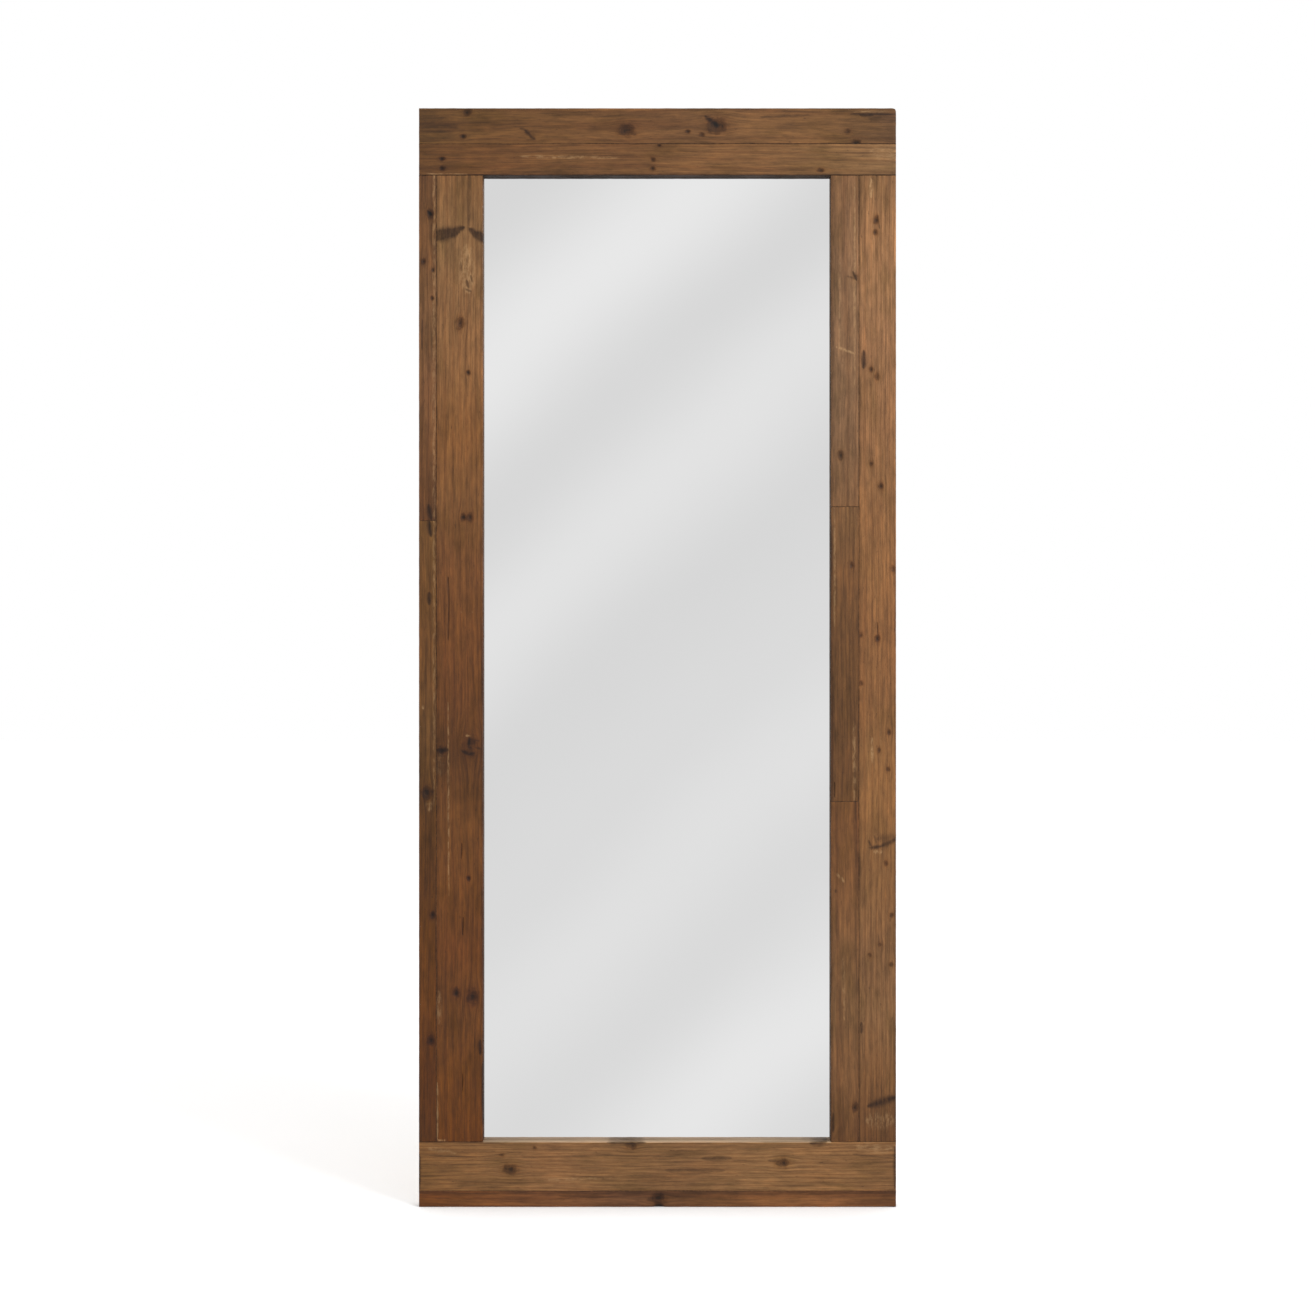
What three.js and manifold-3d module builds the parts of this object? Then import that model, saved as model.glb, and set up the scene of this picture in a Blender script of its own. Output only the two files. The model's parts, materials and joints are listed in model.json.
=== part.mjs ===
// A full-length mirror in a frame of reclaimed pine boards.
//
// Each side of the frame is two boards glued edge to edge. Battens behind them lap the corner
// joints and leave a pocket that holds the glass, a foam liner and a plywood back panel. Two strap
// hangers with swinging D-rings and four rubber bumpers are on the back.
//
// Millimetres, +Z up. The front faces -Y. The origin is on the floor, at the middle of the
// mirror's width and depth.
import * as THREE from "three";
import { mergeVertices } from "three/addons/utils/BufferGeometryUtils.js";
import Module from "manifold-3d";

const wasm = await Module();
wasm.setup();

// ---- Driving dimensions ----

const HEIGHT = 1800;
const WIDTH = 782;

const BOARD_DEPTH = 22; // thickness of the front boards
const BATTEN_DEPTH = 14; // thickness of the battens
const BUMPER_DEPTH = 8; // thickness of the wall bumpers
const GLUE = 0.3; // glue line or bare contact between two pieces
const SEAM = 0.4; // open line between two boards that lie side by side
const EASE = 1; // worn front edges of a board

// Board widths on each side of the frame: the outer board is at the frame's edge, the inner one
// at the opening.
const TOP = { outer: 58.6, inner: 51.4 };
const BOTTOM = { outer: 25.9, inner: 80.6 };
const LEFT = { outer: 28.5, inner: 76.5 };
const RIGHT = { outer: 61, inner: 46 };

// Heights above the floor where short lengths of board meet end to end.
const LEFT_OUTER_JOINT = 1124;
const RIGHT_INNER_JOINTS = [664, 1147];

const LIP = 12; // how far the front boards cover the glass pocket
const LEDGE = 14; // how far the back panel lies on the battens, past the pocket
const SETBACK = 6; // the battens stop this far inside the frame's sides and top
const GLASS_DEPTH = 4;
const GLASS_PLAY = 1.5; // room round the glass in its pocket
const PANEL_DEPTH = 6;
const PANEL_PLAY = 1; // room round the panel in its rebate

const SCREW_FIT = 0.3; // room round a screw
const BATTEN_SCREW = { head: 4, core: 1.6, length: 30, sunk: true };
const PANEL_SCREW = { head: 3.5, core: 1.4, length: 22, sunk: true };
const HANGER_SCREW = { head: 3.6, core: 1.5, length: 16, sunk: false };
const PAN_HEAD = 2; // height of a hanger screw's round head
const PAN_CROWN = 0.7; // its flat top, as a share of the head's radius
const TIP = 5; // length of a screw's point
const SCREW_SIDES = 10;
const SCREW_MARGIN = 150; // from a stile board's end to its first batten screw
const LEFT_LENGTH_SCREWS = 2; // batten screws in each length of the left stile's outer strip
const RIGHT_BOARD_SCREWS = 4; // batten screws in the right stile's outer board
const SIDE_PANEL_SCREWS = 3; // along each side of the panel
const END_PANEL_SCREWS = 2; // along its top and its bottom

const HANGER_DROP = 360; // from the frame's top edge to the D-rings' axis
const WIRE = 1.6; // radius of the D-ring's wire
const EYE_PLAY = 0.2; // room round the wire in the strap's eye
const RING_HALF = 13; // from the D-ring's middle to the middle of its side
const RING_REACH = 18; // from its straight bar to the bottom of its bow
const RING_CORNER = 3;
const WIRE_SIDES = 8;
const RING_STEPS = 40;
const WIRE_GAP = 0.5; // the wire's two ends don't quite meet, inside the eye
const STRAP_WIDTH = 14;
const STRAP_DEPTH = 1.6;
const STRAP_LENGTH = 58; // from the eye's axis to the strap's round end
const STRAP_SCREWS = [27, 49]; // below the eye's axis
const CURL = 280; // degrees that the eye's curl turns through

const BUMPER_RADIUS = 10;
const BUMPER_RIM = 1.5;
const BUMPER_INSET = 130; // from the frame's top and bottom to a bumper's middle
const ROUND_SIDES = 24;

// ---- Derived planes and edges ----

const depth = BOARD_DEPTH + GLUE + BATTEN_DEPTH + GLUE + BUMPER_DEPTH;
const front = -depth / 2;
const boardBack = front + BOARD_DEPTH;
const battenFront = boardBack + GLUE;
const battenBack = battenFront + BATTEN_DEPTH;
const hardware = battenBack + GLUE; // plane that the hangers and bumpers stand on

// A rectangle in the frame's plane, as its four edges.
const outline = { left: -WIDTH / 2, right: WIDTH / 2, bottom: 0, top: HEIGHT };
const opening = shrink(outline, widthOf(LEFT), widthOf(RIGHT), widthOf(BOTTOM), widthOf(TOP));
const pocket = shrink(opening, -LIP, -LIP, -LIP, -LIP);
const rebate = shrink(pocket, -LEDGE, -LEDGE, -LEDGE, -LEDGE);
const battens = shrink(outline, SETBACK, SETBACK, 0, SETBACK);

// The middle of the stile battens' full-depth band carries the hangers, bumpers and corner screws.
const bandLeft = (battens.left + rebate.left) / 2;
const bandRight = (battens.right + rebate.right) / 2;

function widthOf(side) {
  return side.outer + side.inner;
}

function shrink(rect, left, right, bottom, top) {
  return {
    left: rect.left + left,
    right: rect.right - right,
    bottom: rect.bottom + bottom,
    top: rect.top - top,
  };
}

// ---- Materials ----

function material(color, roughness, metalness = 0) {
  return new THREE.MeshStandardMaterial({ color, roughness, metalness });
}

const finishes = {
  brownPine: material(0x7b5538, 0.75),
  redPine: material(0x6a4428, 0.75),
  tanPine: material(0x8c6443, 0.75),
  rawPine: material(0xc09a6b, 0.85),
  plywood: material(0xb58e62, 0.8),
  foam: material(0xd8d8d4, 0.95),
  silver: material(0xe2e4e6, 0.03, 1),
  zinc: material(0xb9bbb8, 0.35, 1),
  rubber: material(0x2b2b2b, 0.8),
};

// ---- Solids ----

function solidOf(geometry) {
  const bare = geometry.clone();
  bare.deleteAttribute("normal");
  bare.deleteAttribute("uv");
  const merged = mergeVertices(bare, 1e-4);
  return new wasm.Manifold(
    new wasm.Mesh({
      numProp: 3,
      vertProperties: merged.attributes.position.array,
      triVerts: new Uint32Array(merged.index.array),
    }),
  );
}

function geometryOf(solid) {
  const mesh = solid.getMesh();
  const geometry = new THREE.BufferGeometry();
  geometry.setAttribute("position", new THREE.BufferAttribute(mesh.vertProperties, 3));
  geometry.setIndex(new THREE.BufferAttribute(mesh.triVerts, 1));
  geometry.computeVertexNormals();
  return geometry;
}

// Cuts `tool`, a geometry that stands where the mesh `at` does, out of the placed mesh `mesh`.
function cut(mesh, tool, at) {
  mesh.updateWorldMatrix(true, false);
  at.updateWorldMatrix(true, false);
  const place = mesh.matrixWorld.clone().invert().multiply(at.matrixWorld);
  const cutter = solidOf(tool.clone().applyMatrix4(place));
  mesh.geometry = geometryOf(solidOf(mesh.geometry).subtract(cutter));
}

function piece(group, name, geometry, finish) {
  const mesh = new THREE.Mesh(geometry, finish);
  mesh.name = name;
  group.add(mesh);
  return mesh;
}

// A box between two corners, as a geometry about its own middle and a place for it.
function block(group, name, rect, near, far, finish) {
  const size = [rect.right - rect.left, far - near, rect.top - rect.bottom];
  const mesh = piece(group, name, new THREE.BoxGeometry(...size), finish);
  mesh.position.set((rect.left + rect.right) / 2, (near + far) / 2, (rect.bottom + rect.top) / 2);
  return mesh;
}

// ---- Front boards ----

// A board stands along +Z from z = 0, with its worn face at y = -BOARD_DEPTH / 2.
function boardGeometry(width, length) {
  const side = width / 2;
  const face = BOARD_DEPTH / 2;
  const section = new THREE.Shape([
    new THREE.Vector2(-side + EASE, -face),
    new THREE.Vector2(side - EASE, -face),
    new THREE.Vector2(side, -face + EASE),
    new THREE.Vector2(side, face),
    new THREE.Vector2(-side, face),
    new THREE.Vector2(-side, -face + EASE),
  ]);
  return new THREE.ExtrudeGeometry(section, { depth: length, bevelEnabled: false });
}

// A board that fills the rectangle and runs along its longer side.
function board(group, name, rect, finish) {
  const wide = rect.right - rect.left;
  const high = rect.top - rect.bottom;
  const middle = (front + boardBack) / 2;
  const lies = wide > high;
  const mesh = piece(group, name, boardGeometry(Math.min(wide, high), Math.max(wide, high)), finish);
  if (lies) {
    mesh.rotation.y = Math.PI / 2;
    mesh.position.set(rect.left, middle, (rect.bottom + rect.top) / 2);
  } else {
    mesh.position.set((rect.left + rect.right) / 2, middle, rect.bottom);
  }
  return mesh;
}

function frontFrame(group) {
  const s = SEAM / 2;
  const topSeam = outline.top - TOP.outer;
  const bottomSeam = outline.bottom + BOTTOM.outer;
  const leftSeam = outline.left + LEFT.outer;
  const rightSeam = outline.right - RIGHT.outer;
  const { brownPine, redPine, tanPine } = finishes;

  // Each rail has an outer board, at the frame's edge, and an inner one, at the opening. A seam is
  // left open between two boards, half of it on each.
  const topOuterRect = { ...outline, bottom: topSeam + s };
  const topInnerRect = { ...outline, top: topSeam - s, bottom: opening.top };
  const bottomOuterRect = { ...outline, top: bottomSeam - s };
  const bottomInnerRect = { ...outline, bottom: bottomSeam + s, top: opening.bottom };
  const topOuter = board(group, "top_rail_upper_board", topOuterRect, brownPine);
  const topInner = board(group, "top_rail_lower_board", topInnerRect, brownPine);
  const bottomOuter = board(group, "bottom_rail_lower_board", bottomOuterRect, redPine);
  const bottomInner = board(group, "bottom_rail_upper_board", bottomInnerRect, tanPine);

  // Stile boards stand between the rails, cut at the end joints.
  const stile = (left, right, joints, names, finish) => {
    const ends = [opening.bottom + s, ...joints, opening.top - s];
    return names.map((name, i) => {
      const bottom = i ? ends[i] + s : ends[0];
      const top = i < names.length - 1 ? ends[i + 1] - s : ends[i + 1];
      return board(group, name, { left, right, bottom, top }, finish);
    });
  };
  const leftOuter = stile(
    outline.left,
    leftSeam - s,
    [LEFT_OUTER_JOINT],
    ["left_stile_outer_board_lower", "left_stile_outer_board_upper"],
    redPine,
  );
  const leftInner = stile(leftSeam + s, opening.left, [], ["left_stile_inner_board"], brownPine);
  const rightInner = stile(
    opening.right,
    rightSeam - s,
    RIGHT_INNER_JOINTS,
    [
      "right_stile_inner_board_bottom",
      "right_stile_inner_board_middle",
      "right_stile_inner_board_top",
    ],
    brownPine,
  );
  const rightOuter = stile(rightSeam + s, outline.right, [], ["right_stile_outer_board"], tanPine);
  const rails = [topOuter, topInner, bottomOuter, bottomInner];
  return { rails, topInner, bottomInner, leftOuter, leftInner, rightInner, rightOuter };
}

// ---- Battens, and what lies in their pocket ----

function backFrame(group) {
  const { rawPine } = finishes;
  const between = { left: pocket.left + GLUE, right: pocket.right - GLUE };
  const rects = {
    back_batten_left: { ...battens, right: pocket.left },
    back_batten_right: { ...battens, left: pocket.right },
    back_batten_top: { ...between, bottom: pocket.top, top: battens.top },
    back_batten_bottom: { ...between, bottom: battens.bottom, top: pocket.bottom },
  };
  const made = Object.entries(rects).map(([name, rect]) =>
    block(group, name, rect, battenFront, battenBack, rawPine),
  );
  const rebateCut = block(
    new THREE.Group(),
    "",
    rebate,
    battenBack - PANEL_DEPTH - GLUE,
    battenBack + PANEL_DEPTH,
  );
  for (const batten of made) cut(batten, rebateCut.geometry, rebateCut);
  return made;
}

function glazing(group) {
  const glassFront = boardBack + GLUE;
  const glassBack = glassFront + GLASS_DEPTH;
  const panelFront = battenBack - PANEL_DEPTH;
  const loose = (rect, play) => shrink(rect, play, play, play, play);
  const inPocket = loose(pocket, GLASS_PLAY);
  block(group, "mirror_glass", inPocket, glassFront, glassBack, finishes.silver);
  block(group, "foam_liner", inPocket, glassBack + GLUE, panelFront - GLUE, finishes.foam);
  const inRebate = loose(rebate, PANEL_PLAY);
  return block(group, "back_panel", inRebate, panelFront, battenBack, finishes.plywood);
}

// ---- Screws ----

// A screw points down -Z with the top of its head at z = 0. With `room`, it is the hole for it:
// as much wider and deeper, and open at the top.
function screwGeometry(kind, room = 0) {
  const head = kind.head + room;
  const core = kind.core + room;
  const mouth = room ? PAN_HEAD + room : 0;
  const neck = kind.sunk ? -(kind.head - kind.core) - room : -PAN_HEAD;
  const profile = [
    [0, -kind.length - room],
    [core, -kind.length + TIP - room],
    [core, neck],
  ];
  if (kind.sunk) profile.push([head, -room]);
  else if (room) profile.push([core, 0]);
  else profile.push([head, -PAN_HEAD], [head, -PAN_HEAD / 2], [head * PAN_CROWN, 0]);
  if (room) profile.push([kind.sunk ? head : core, mouth]);
  profile.push([0, mouth]);
  const points = profile.map(([x, y]) => new THREE.Vector2(x, y));
  return new THREE.LatheGeometry(points, SCREW_SIDES).rotateX(Math.PI / 2);
}

// Drives a screw from behind, with the top of its head at `place`, into the meshes `through`.
function drive(group, name, kind, place, through) {
  const screw = piece(group, name, screwGeometry(kind), finishes.zinc);
  screw.position.copy(place);
  screw.rotation.x = -Math.PI / 2;
  for (const mesh of through) cut(mesh, screwGeometry(kind, SCREW_FIT), screw);
}

// Equal steps from `low` to `high`, both included.
function spread(low, high, count) {
  return Array.from({ length: count }, (_, i) => low + ((high - low) * i) / (count - 1));
}

function battenScrews(group, boards, [left, right]) {
  const middle = (board) => {
    const box = new THREE.Box3().setFromObject(board);
    return box.getCenter(new THREE.Vector3());
  };
  const spots = [];
  for (const [batten, x] of [
    [left, bandLeft],
    [right, bandRight],
  ])
    for (const railBoard of boards.rails)
      spots.push({ x, z: middle(railBoard).z, through: [batten, railBoard] });

  const outer = [
    [left, boards.leftOuter, (battens.left + outline.left + LEFT.outer) / 2, LEFT_LENGTH_SCREWS],
    [right, boards.rightOuter, (battens.right + outline.right - RIGHT.outer) / 2, RIGHT_BOARD_SCREWS],
  ];
  for (const [batten, lengths, x, count] of outer)
    for (const stileBoard of lengths) {
      const box = new THREE.Box3().setFromObject(stileBoard);
      for (const z of spread(box.min.z + SCREW_MARGIN, box.max.z - SCREW_MARGIN, count))
        spots.push({ x, z, through: [batten, stileBoard] });
    }
  spots.forEach(({ x, z, through }, i) => {
    const place = new THREE.Vector3(x, battenBack, z);
    drive(group, numbered("batten_screw", i), BATTEN_SCREW, place, through);
  });
}

function numbered(name, index) {
  return name + "_" + String(index + 1).padStart(2, "0");
}

function panelScrews(group, panel, boards, [left, right, top, bottom]) {
  const line = {
    left: (pocket.left + rebate.left) / 2,
    right: (pocket.right + rebate.right) / 2,
    bottom: (pocket.bottom + rebate.bottom) / 2,
    top: (pocket.top + rebate.top) / 2,
  };
  const high = line.top - line.bottom;
  const wide = line.right - line.left;
  const sideStep = high / SIDE_PANEL_SCREWS;
  const endStep = wide / END_PANEL_SCREWS;
  const heights = spread(line.bottom + sideStep / 2, line.top - sideStep / 2, SIDE_PANEL_SCREWS);
  const across = spread(line.left + endStep / 2, line.right - endStep / 2, END_PANEL_SCREWS);
  const spots = [
    ...heights.map((z) => ({ x: line.left, z, through: [left, ...boards.leftInner] })),
    ...heights.map((z) => ({ x: line.right, z, through: [right, ...boards.rightInner] })),
    ...across.map((x) => ({ x, z: line.top, through: [top, boards.topInner] })),
    ...across.map((x) => ({ x, z: line.bottom, through: [bottom, boards.bottomInner] })),
  ];
  spots.forEach(({ x, z, through }, i) => {
    const place = new THREE.Vector3(x, battenBack, z);
    drive(group, numbered("panel_screw", i), PANEL_SCREW, place, [panel, ...through]);
  });
}

// ---- Hangers ----

// A plane path stood up: its x stays x, and its y becomes z.
class Upright extends THREE.Curve {
  constructor(path) {
    super();
    this.path = path;
  }
  getPoint(t) {
    const { x, y } = this.path.getPoint(t);
    return new THREE.Vector3(x, 0, y);
  }
}

// The D-ring hangs from its straight bar, which lies along X through the origin.
function ringGeometry() {
  const c = RING_CORNER;
  const bowTop = RING_REACH - RING_HALF;
  const path = new THREE.Path();
  path.moveTo(WIRE_GAP / 2, 0);
  path.lineTo(RING_HALF - c, 0);
  path.absarc(RING_HALF - c, -c, c, Math.PI / 2, 0, true);
  path.lineTo(RING_HALF, -bowTop);
  path.absarc(0, -bowTop, RING_HALF, 0, -Math.PI, true);
  path.lineTo(-RING_HALF, -c);
  path.absarc(-RING_HALF + c, -c, c, Math.PI, Math.PI / 2, true);
  path.lineTo(-WIRE_GAP / 2, 0);
  const section = new THREE.Shape();
  section.absarc(0, 0, WIRE, 0, 2 * Math.PI);
  return new THREE.ExtrudeGeometry(section, {
    curveSegments: WIRE_SIDES / 2,
    steps: RING_STEPS,
    extrudePath: new Upright(path),
  });
}

// The strap seen from its side: x is the distance from the batten, y is the height above the
// eye's axis. The strip runs up the batten and curls round the D-ring's bar.
function strapSide() {
  const inner = WIRE + EYE_PLAY;
  const outer = inner + STRAP_DEPTH;
  const end = Math.PI - (CURL * Math.PI) / 180;
  const side = new THREE.Shape();
  side.moveTo(0, -STRAP_LENGTH);
  side.lineTo(0, 0);
  side.absarc(outer, 0, outer, Math.PI, end, true);
  side.absarc(outer, 0, inner, end, Math.PI, false);
  side.lineTo(STRAP_DEPTH, -STRAP_LENGTH);
  return side;
}

function strapGeometry() {
  const half = STRAP_WIDTH / 2;
  const top = STRAP_DEPTH * 2 + (WIRE + EYE_PLAY) * 2;
  const strip = new THREE.ExtrudeGeometry(strapSide(), {
    depth: STRAP_WIDTH,
    curveSegments: ROUND_SIDES / 2,
    bevelEnabled: false,
  });
  strip.translate(0, 0, -half);
  strip.applyMatrix4(
    new THREE.Matrix4().makeBasis(
      new THREE.Vector3(0, 1, 0),
      new THREE.Vector3(0, 0, 1),
      new THREE.Vector3(1, 0, 0),
    ),
  );
  // The strip's outline seen from behind, with a round lower end.
  const face = new THREE.Shape();
  face.moveTo(half + GLUE, top);
  face.lineTo(-half - GLUE, top);
  face.lineTo(-half - GLUE, -STRAP_LENGTH + half);
  face.absarc(0, -STRAP_LENGTH + half, half, Math.PI, 2 * Math.PI, false);
  face.lineTo(half + GLUE, -STRAP_LENGTH + half);
  const outlineCut = new THREE.ExtrudeGeometry(face, {
    depth: 4 * top,
    curveSegments: ROUND_SIDES / 4,
    bevelEnabled: false,
  });
  outlineCut.rotateX(Math.PI / 2).translate(0, 3 * top, 0);
  return geometryOf(solidOf(strip).intersect(solidOf(outlineCut)));
}

// A strap with its D-ring and screws. The group's origin is on the batten, level with the
// ring's axis.
function hanger(group, side, x, through) {
  const eye = WIRE + EYE_PLAY + STRAP_DEPTH;
  const mount = new THREE.Group();
  mount.position.set(x, hardware, HEIGHT - HANGER_DROP);
  group.add(mount);
  const strap = piece(mount, "hanger_strap_" + side, strapGeometry(), finishes.zinc);
  const ring = piece(mount, "hanger_ring_" + side, ringGeometry(), finishes.zinc);
  ring.position.y = eye;
  ["upper", "lower"].forEach((which, i) => {
    const place = new THREE.Vector3(0, STRAP_DEPTH + GLUE + PAN_HEAD, -STRAP_SCREWS[i]);
    const name = "hanger_screw_" + side + "_" + which;
    drive(mount, name, HANGER_SCREW, place, [strap, ...through]);
  });
}

// ---- Bumpers ----

function bumperGeometry() {
  const profile = [
    [0, 0],
    [BUMPER_RADIUS, 0],
    [BUMPER_RADIUS, BUMPER_DEPTH - BUMPER_RIM],
    [BUMPER_RADIUS - BUMPER_RIM, BUMPER_DEPTH],
    [0, BUMPER_DEPTH],
  ].map(([x, y]) => new THREE.Vector2(x, y));
  return new THREE.LatheGeometry(profile, ROUND_SIDES);
}

function bumpers(group) {
  for (const [level, z] of [
    ["upper", HEIGHT - BUMPER_INSET],
    ["lower", BUMPER_INSET],
  ])
    for (const [side, x] of [
      ["left", bandLeft],
      ["right", bandRight],
    ]) {
      const name = "wall_bumper_" + level + "_" + side;
      const bumper = piece(group, name, bumperGeometry(), finishes.rubber);
      bumper.position.set(x, hardware, z);
    }
}

// ---- Assembly ----

const mirror = new THREE.Group();
const frontGroup = new THREE.Group();
const backGroup = new THREE.Group();
const fittings = new THREE.Group();
mirror.add(frontGroup, backGroup, fittings);

const boards = frontFrame(frontGroup);
const frameBattens = backFrame(backGroup);
const panel = glazing(backGroup);
battenScrews(fittings, boards, frameBattens);
panelScrews(fittings, panel, boards, frameBattens);
hanger(fittings, "left", bandLeft, [frameBattens[0], ...boards.leftInner]);
hanger(fittings, "right", bandRight, [frameBattens[1], ...boards.rightOuter]);
bumpers(fittings);

export default mirror;
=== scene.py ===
# %% [markdown]
# # A full-length mirror in a frame of old pine boards
#
# The mirror is a flat frame of reclaimed boards round a tall glass. Its design, with every size, is
# already packed as a CAD model. This script loads that model as a fixed frame and builds what the
# eye sees on it: worn boards with knots and checks, silvered glass, raw battens, a plywood back,
# screws, hangers and rubber bumpers. Everything is in metres. No place is fitted by eye: a piece
# takes its size and place from the CAD node that it stands for.

import json
import math

import bpy
import numpy as np
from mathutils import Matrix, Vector

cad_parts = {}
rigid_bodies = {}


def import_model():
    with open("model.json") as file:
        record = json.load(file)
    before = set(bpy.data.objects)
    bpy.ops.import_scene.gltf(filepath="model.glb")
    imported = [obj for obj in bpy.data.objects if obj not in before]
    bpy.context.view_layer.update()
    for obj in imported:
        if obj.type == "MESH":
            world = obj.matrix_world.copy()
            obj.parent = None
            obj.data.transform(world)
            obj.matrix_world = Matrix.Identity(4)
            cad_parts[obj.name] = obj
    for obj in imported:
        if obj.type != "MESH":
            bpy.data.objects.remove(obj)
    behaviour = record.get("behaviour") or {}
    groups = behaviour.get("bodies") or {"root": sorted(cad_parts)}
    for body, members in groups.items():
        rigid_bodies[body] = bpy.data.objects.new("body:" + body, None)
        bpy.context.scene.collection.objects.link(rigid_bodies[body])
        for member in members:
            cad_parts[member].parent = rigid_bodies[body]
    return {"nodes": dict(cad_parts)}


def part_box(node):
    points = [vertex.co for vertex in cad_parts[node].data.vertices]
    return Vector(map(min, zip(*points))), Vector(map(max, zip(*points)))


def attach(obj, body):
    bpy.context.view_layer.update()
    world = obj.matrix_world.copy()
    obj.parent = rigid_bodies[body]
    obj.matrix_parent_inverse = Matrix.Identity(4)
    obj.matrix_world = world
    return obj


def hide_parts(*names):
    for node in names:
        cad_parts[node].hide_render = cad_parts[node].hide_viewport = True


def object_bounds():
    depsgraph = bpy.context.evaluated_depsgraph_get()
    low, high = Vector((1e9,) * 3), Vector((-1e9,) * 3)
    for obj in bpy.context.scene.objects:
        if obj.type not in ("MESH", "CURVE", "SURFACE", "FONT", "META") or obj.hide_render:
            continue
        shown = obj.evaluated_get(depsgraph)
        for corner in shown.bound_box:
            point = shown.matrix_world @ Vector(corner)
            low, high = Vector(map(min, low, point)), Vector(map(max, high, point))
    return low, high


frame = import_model()
cad_low, cad_high = [np.array(corner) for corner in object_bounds()]
MM = 0.001
print("The CAD model is", np.round(cad_high - cad_low, 4), "m, in", len(frame["nodes"]), "nodes")

# %% [markdown]
# ## The camera, the floor and the light
#
# A product picture of a flat frame is taken square on, so that its sides stay straight. The camera
# stands level, a little above the middle of the mirror, because a level camera keeps upright edges
# upright. From there it looks down on the opening's lower edge and up at its upper edge. A small
# lens shift brings the mirror back to the middle of the picture.

# %% Camera
CAMERA_DISTANCE = 4.65  # from the frame's front face
CAMERA_HEIGHT = 1.0
VIEW_WIDTH = 2.154  # what the picture spans at the front face
SENSOR = 36.0

front = cad_low[1]
middle_height = (cad_low[2] + cad_high[2]) / 2
camera_data = bpy.data.cameras.new("camera")
camera_data.sensor_width = SENSOR
camera_data.lens = SENSOR * CAMERA_DISTANCE / VIEW_WIDTH
camera_data.shift_y = (middle_height - CAMERA_HEIGHT) / VIEW_WIDTH
camera = bpy.data.objects.new("camera", camera_data)
camera.location = (0, front - CAMERA_DISTANCE, CAMERA_HEIGHT)
camera.rotation_euler = (math.pi / 2, 0, 0)
bpy.context.scene.collection.objects.link(camera)
bpy.context.scene.camera = camera
bpy.context.scene.view_settings.view_transform = "Standard"
print("The lens is", round(camera_data.lens, 1), "mm, shifted by", round(camera_data.shift_y, 3))

# %% [markdown]
# A mirror shows whatever is in front of it, so the studio has to be plain all round. The floor is
# a pale sheet that the glass doesn't reflect, and the world is a white room. Where the mirror
# looks, a white scrim hangs in slanting folds, and each fold is a soft band of light: without
# them the glass would look like grey card. Behind the mirror the room darkens downwards, which
# gives the bright steel there something to show. A light path node keeps all this apart from the
# plain background and from the even light that falls on everything.


# %% Helpers for node trees
def node(tree, kind, inputs=None, **settings):
    """Adds a shader node. A value in `inputs` is a number, a colour, or a socket to link from."""
    made = tree.nodes.new("ShaderNode" + kind)
    for name, value in settings.items():
        setattr(made, name, value)
    for name, value in (inputs or {}).items():
        if isinstance(value, bpy.types.NodeSocket):
            tree.links.new(value, made.inputs[name])
        else:
            made.inputs[name].default_value = value
    return made


def maths(tree, operation, a, b=0.0, clamp=False):
    """The result of a sum on two numbers or sockets."""
    made = node(tree, "Math", {0: a, 1: b}, operation=operation, use_clamp=clamp)
    return made.outputs[0]


def mix(tree, how, factor, a, b):
    """Mixes two colours; `how` is MIX, MULTIPLY and so on."""
    made = node(tree, "Mix", {0: factor, 6: a, 7: b}, data_type="RGBA", blend_type=how)
    return made.outputs[2]


def ramp(tree, factor, stops, smooth=False):
    """A colour ramp. Each stop is a place from 0 to 1 and a grey or a linear colour."""
    made = node(tree, "ValToRGB", {0: factor})
    made.color_ramp.interpolation = "EASE" if smooth else "LINEAR"
    slots = made.color_ramp.elements
    while len(slots) < len(stops):
        slots.new(0.5)
    for slot, (place, colour) in zip(slots, stops):
        slot.position = place
        rgb = (colour,) * 3 if isinstance(colour, (int, float)) else colour
        slot.color = (*rgb, 1)
    return made.outputs[0]


def paint(red, green, blue):
    """A colour as a paint card gives it, from 0 to 255, as the linear colour that shaders use."""
    return tuple(
        c / 12.92 if c <= 0.04045 else ((c + 0.055) / 1.055) ** 2.4
        for c in (red / 255, green / 255, blue / 255)
    )


def finish(name, **values):
    """A new material and its node tree and shader, with some of the shader's sockets set."""
    material = bpy.data.materials.new(name)
    material.use_nodes = True
    shader = material.node_tree.nodes["Principled BSDF"]
    for socket, value in values.items():
        shader.inputs[socket.replace("_", " ")].default_value = value
    return material, material.node_tree, shader


def object_place(tree, **settings):
    """The object coordinate, moved, turned or scaled."""
    made = node(tree, "Mapping", {"Vector": node(tree, "TexCoord").outputs["Object"], **settings})
    return made.outputs[0]


# %% World
ROOM_LIGHT = 1.0
SLANT = 0.86  # how far the folds rise for each step to the right
RAGGED_FOLD = 0.03
FOLDS = [(-0.24, 0.8), (-0.192, 0.8), (-0.134, 0.95), (-0.083, 0.81), (-0.04, 0.9), (0.008, 0.805),
         (0.058, 0.83), (0.1, 0.88), (0.142, 0.825), (0.195, 0.935), (0.24, 0.82), (0.36, 0.8)]
FOLD_START, FOLD_SPAN = -0.24, 0.6

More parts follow.
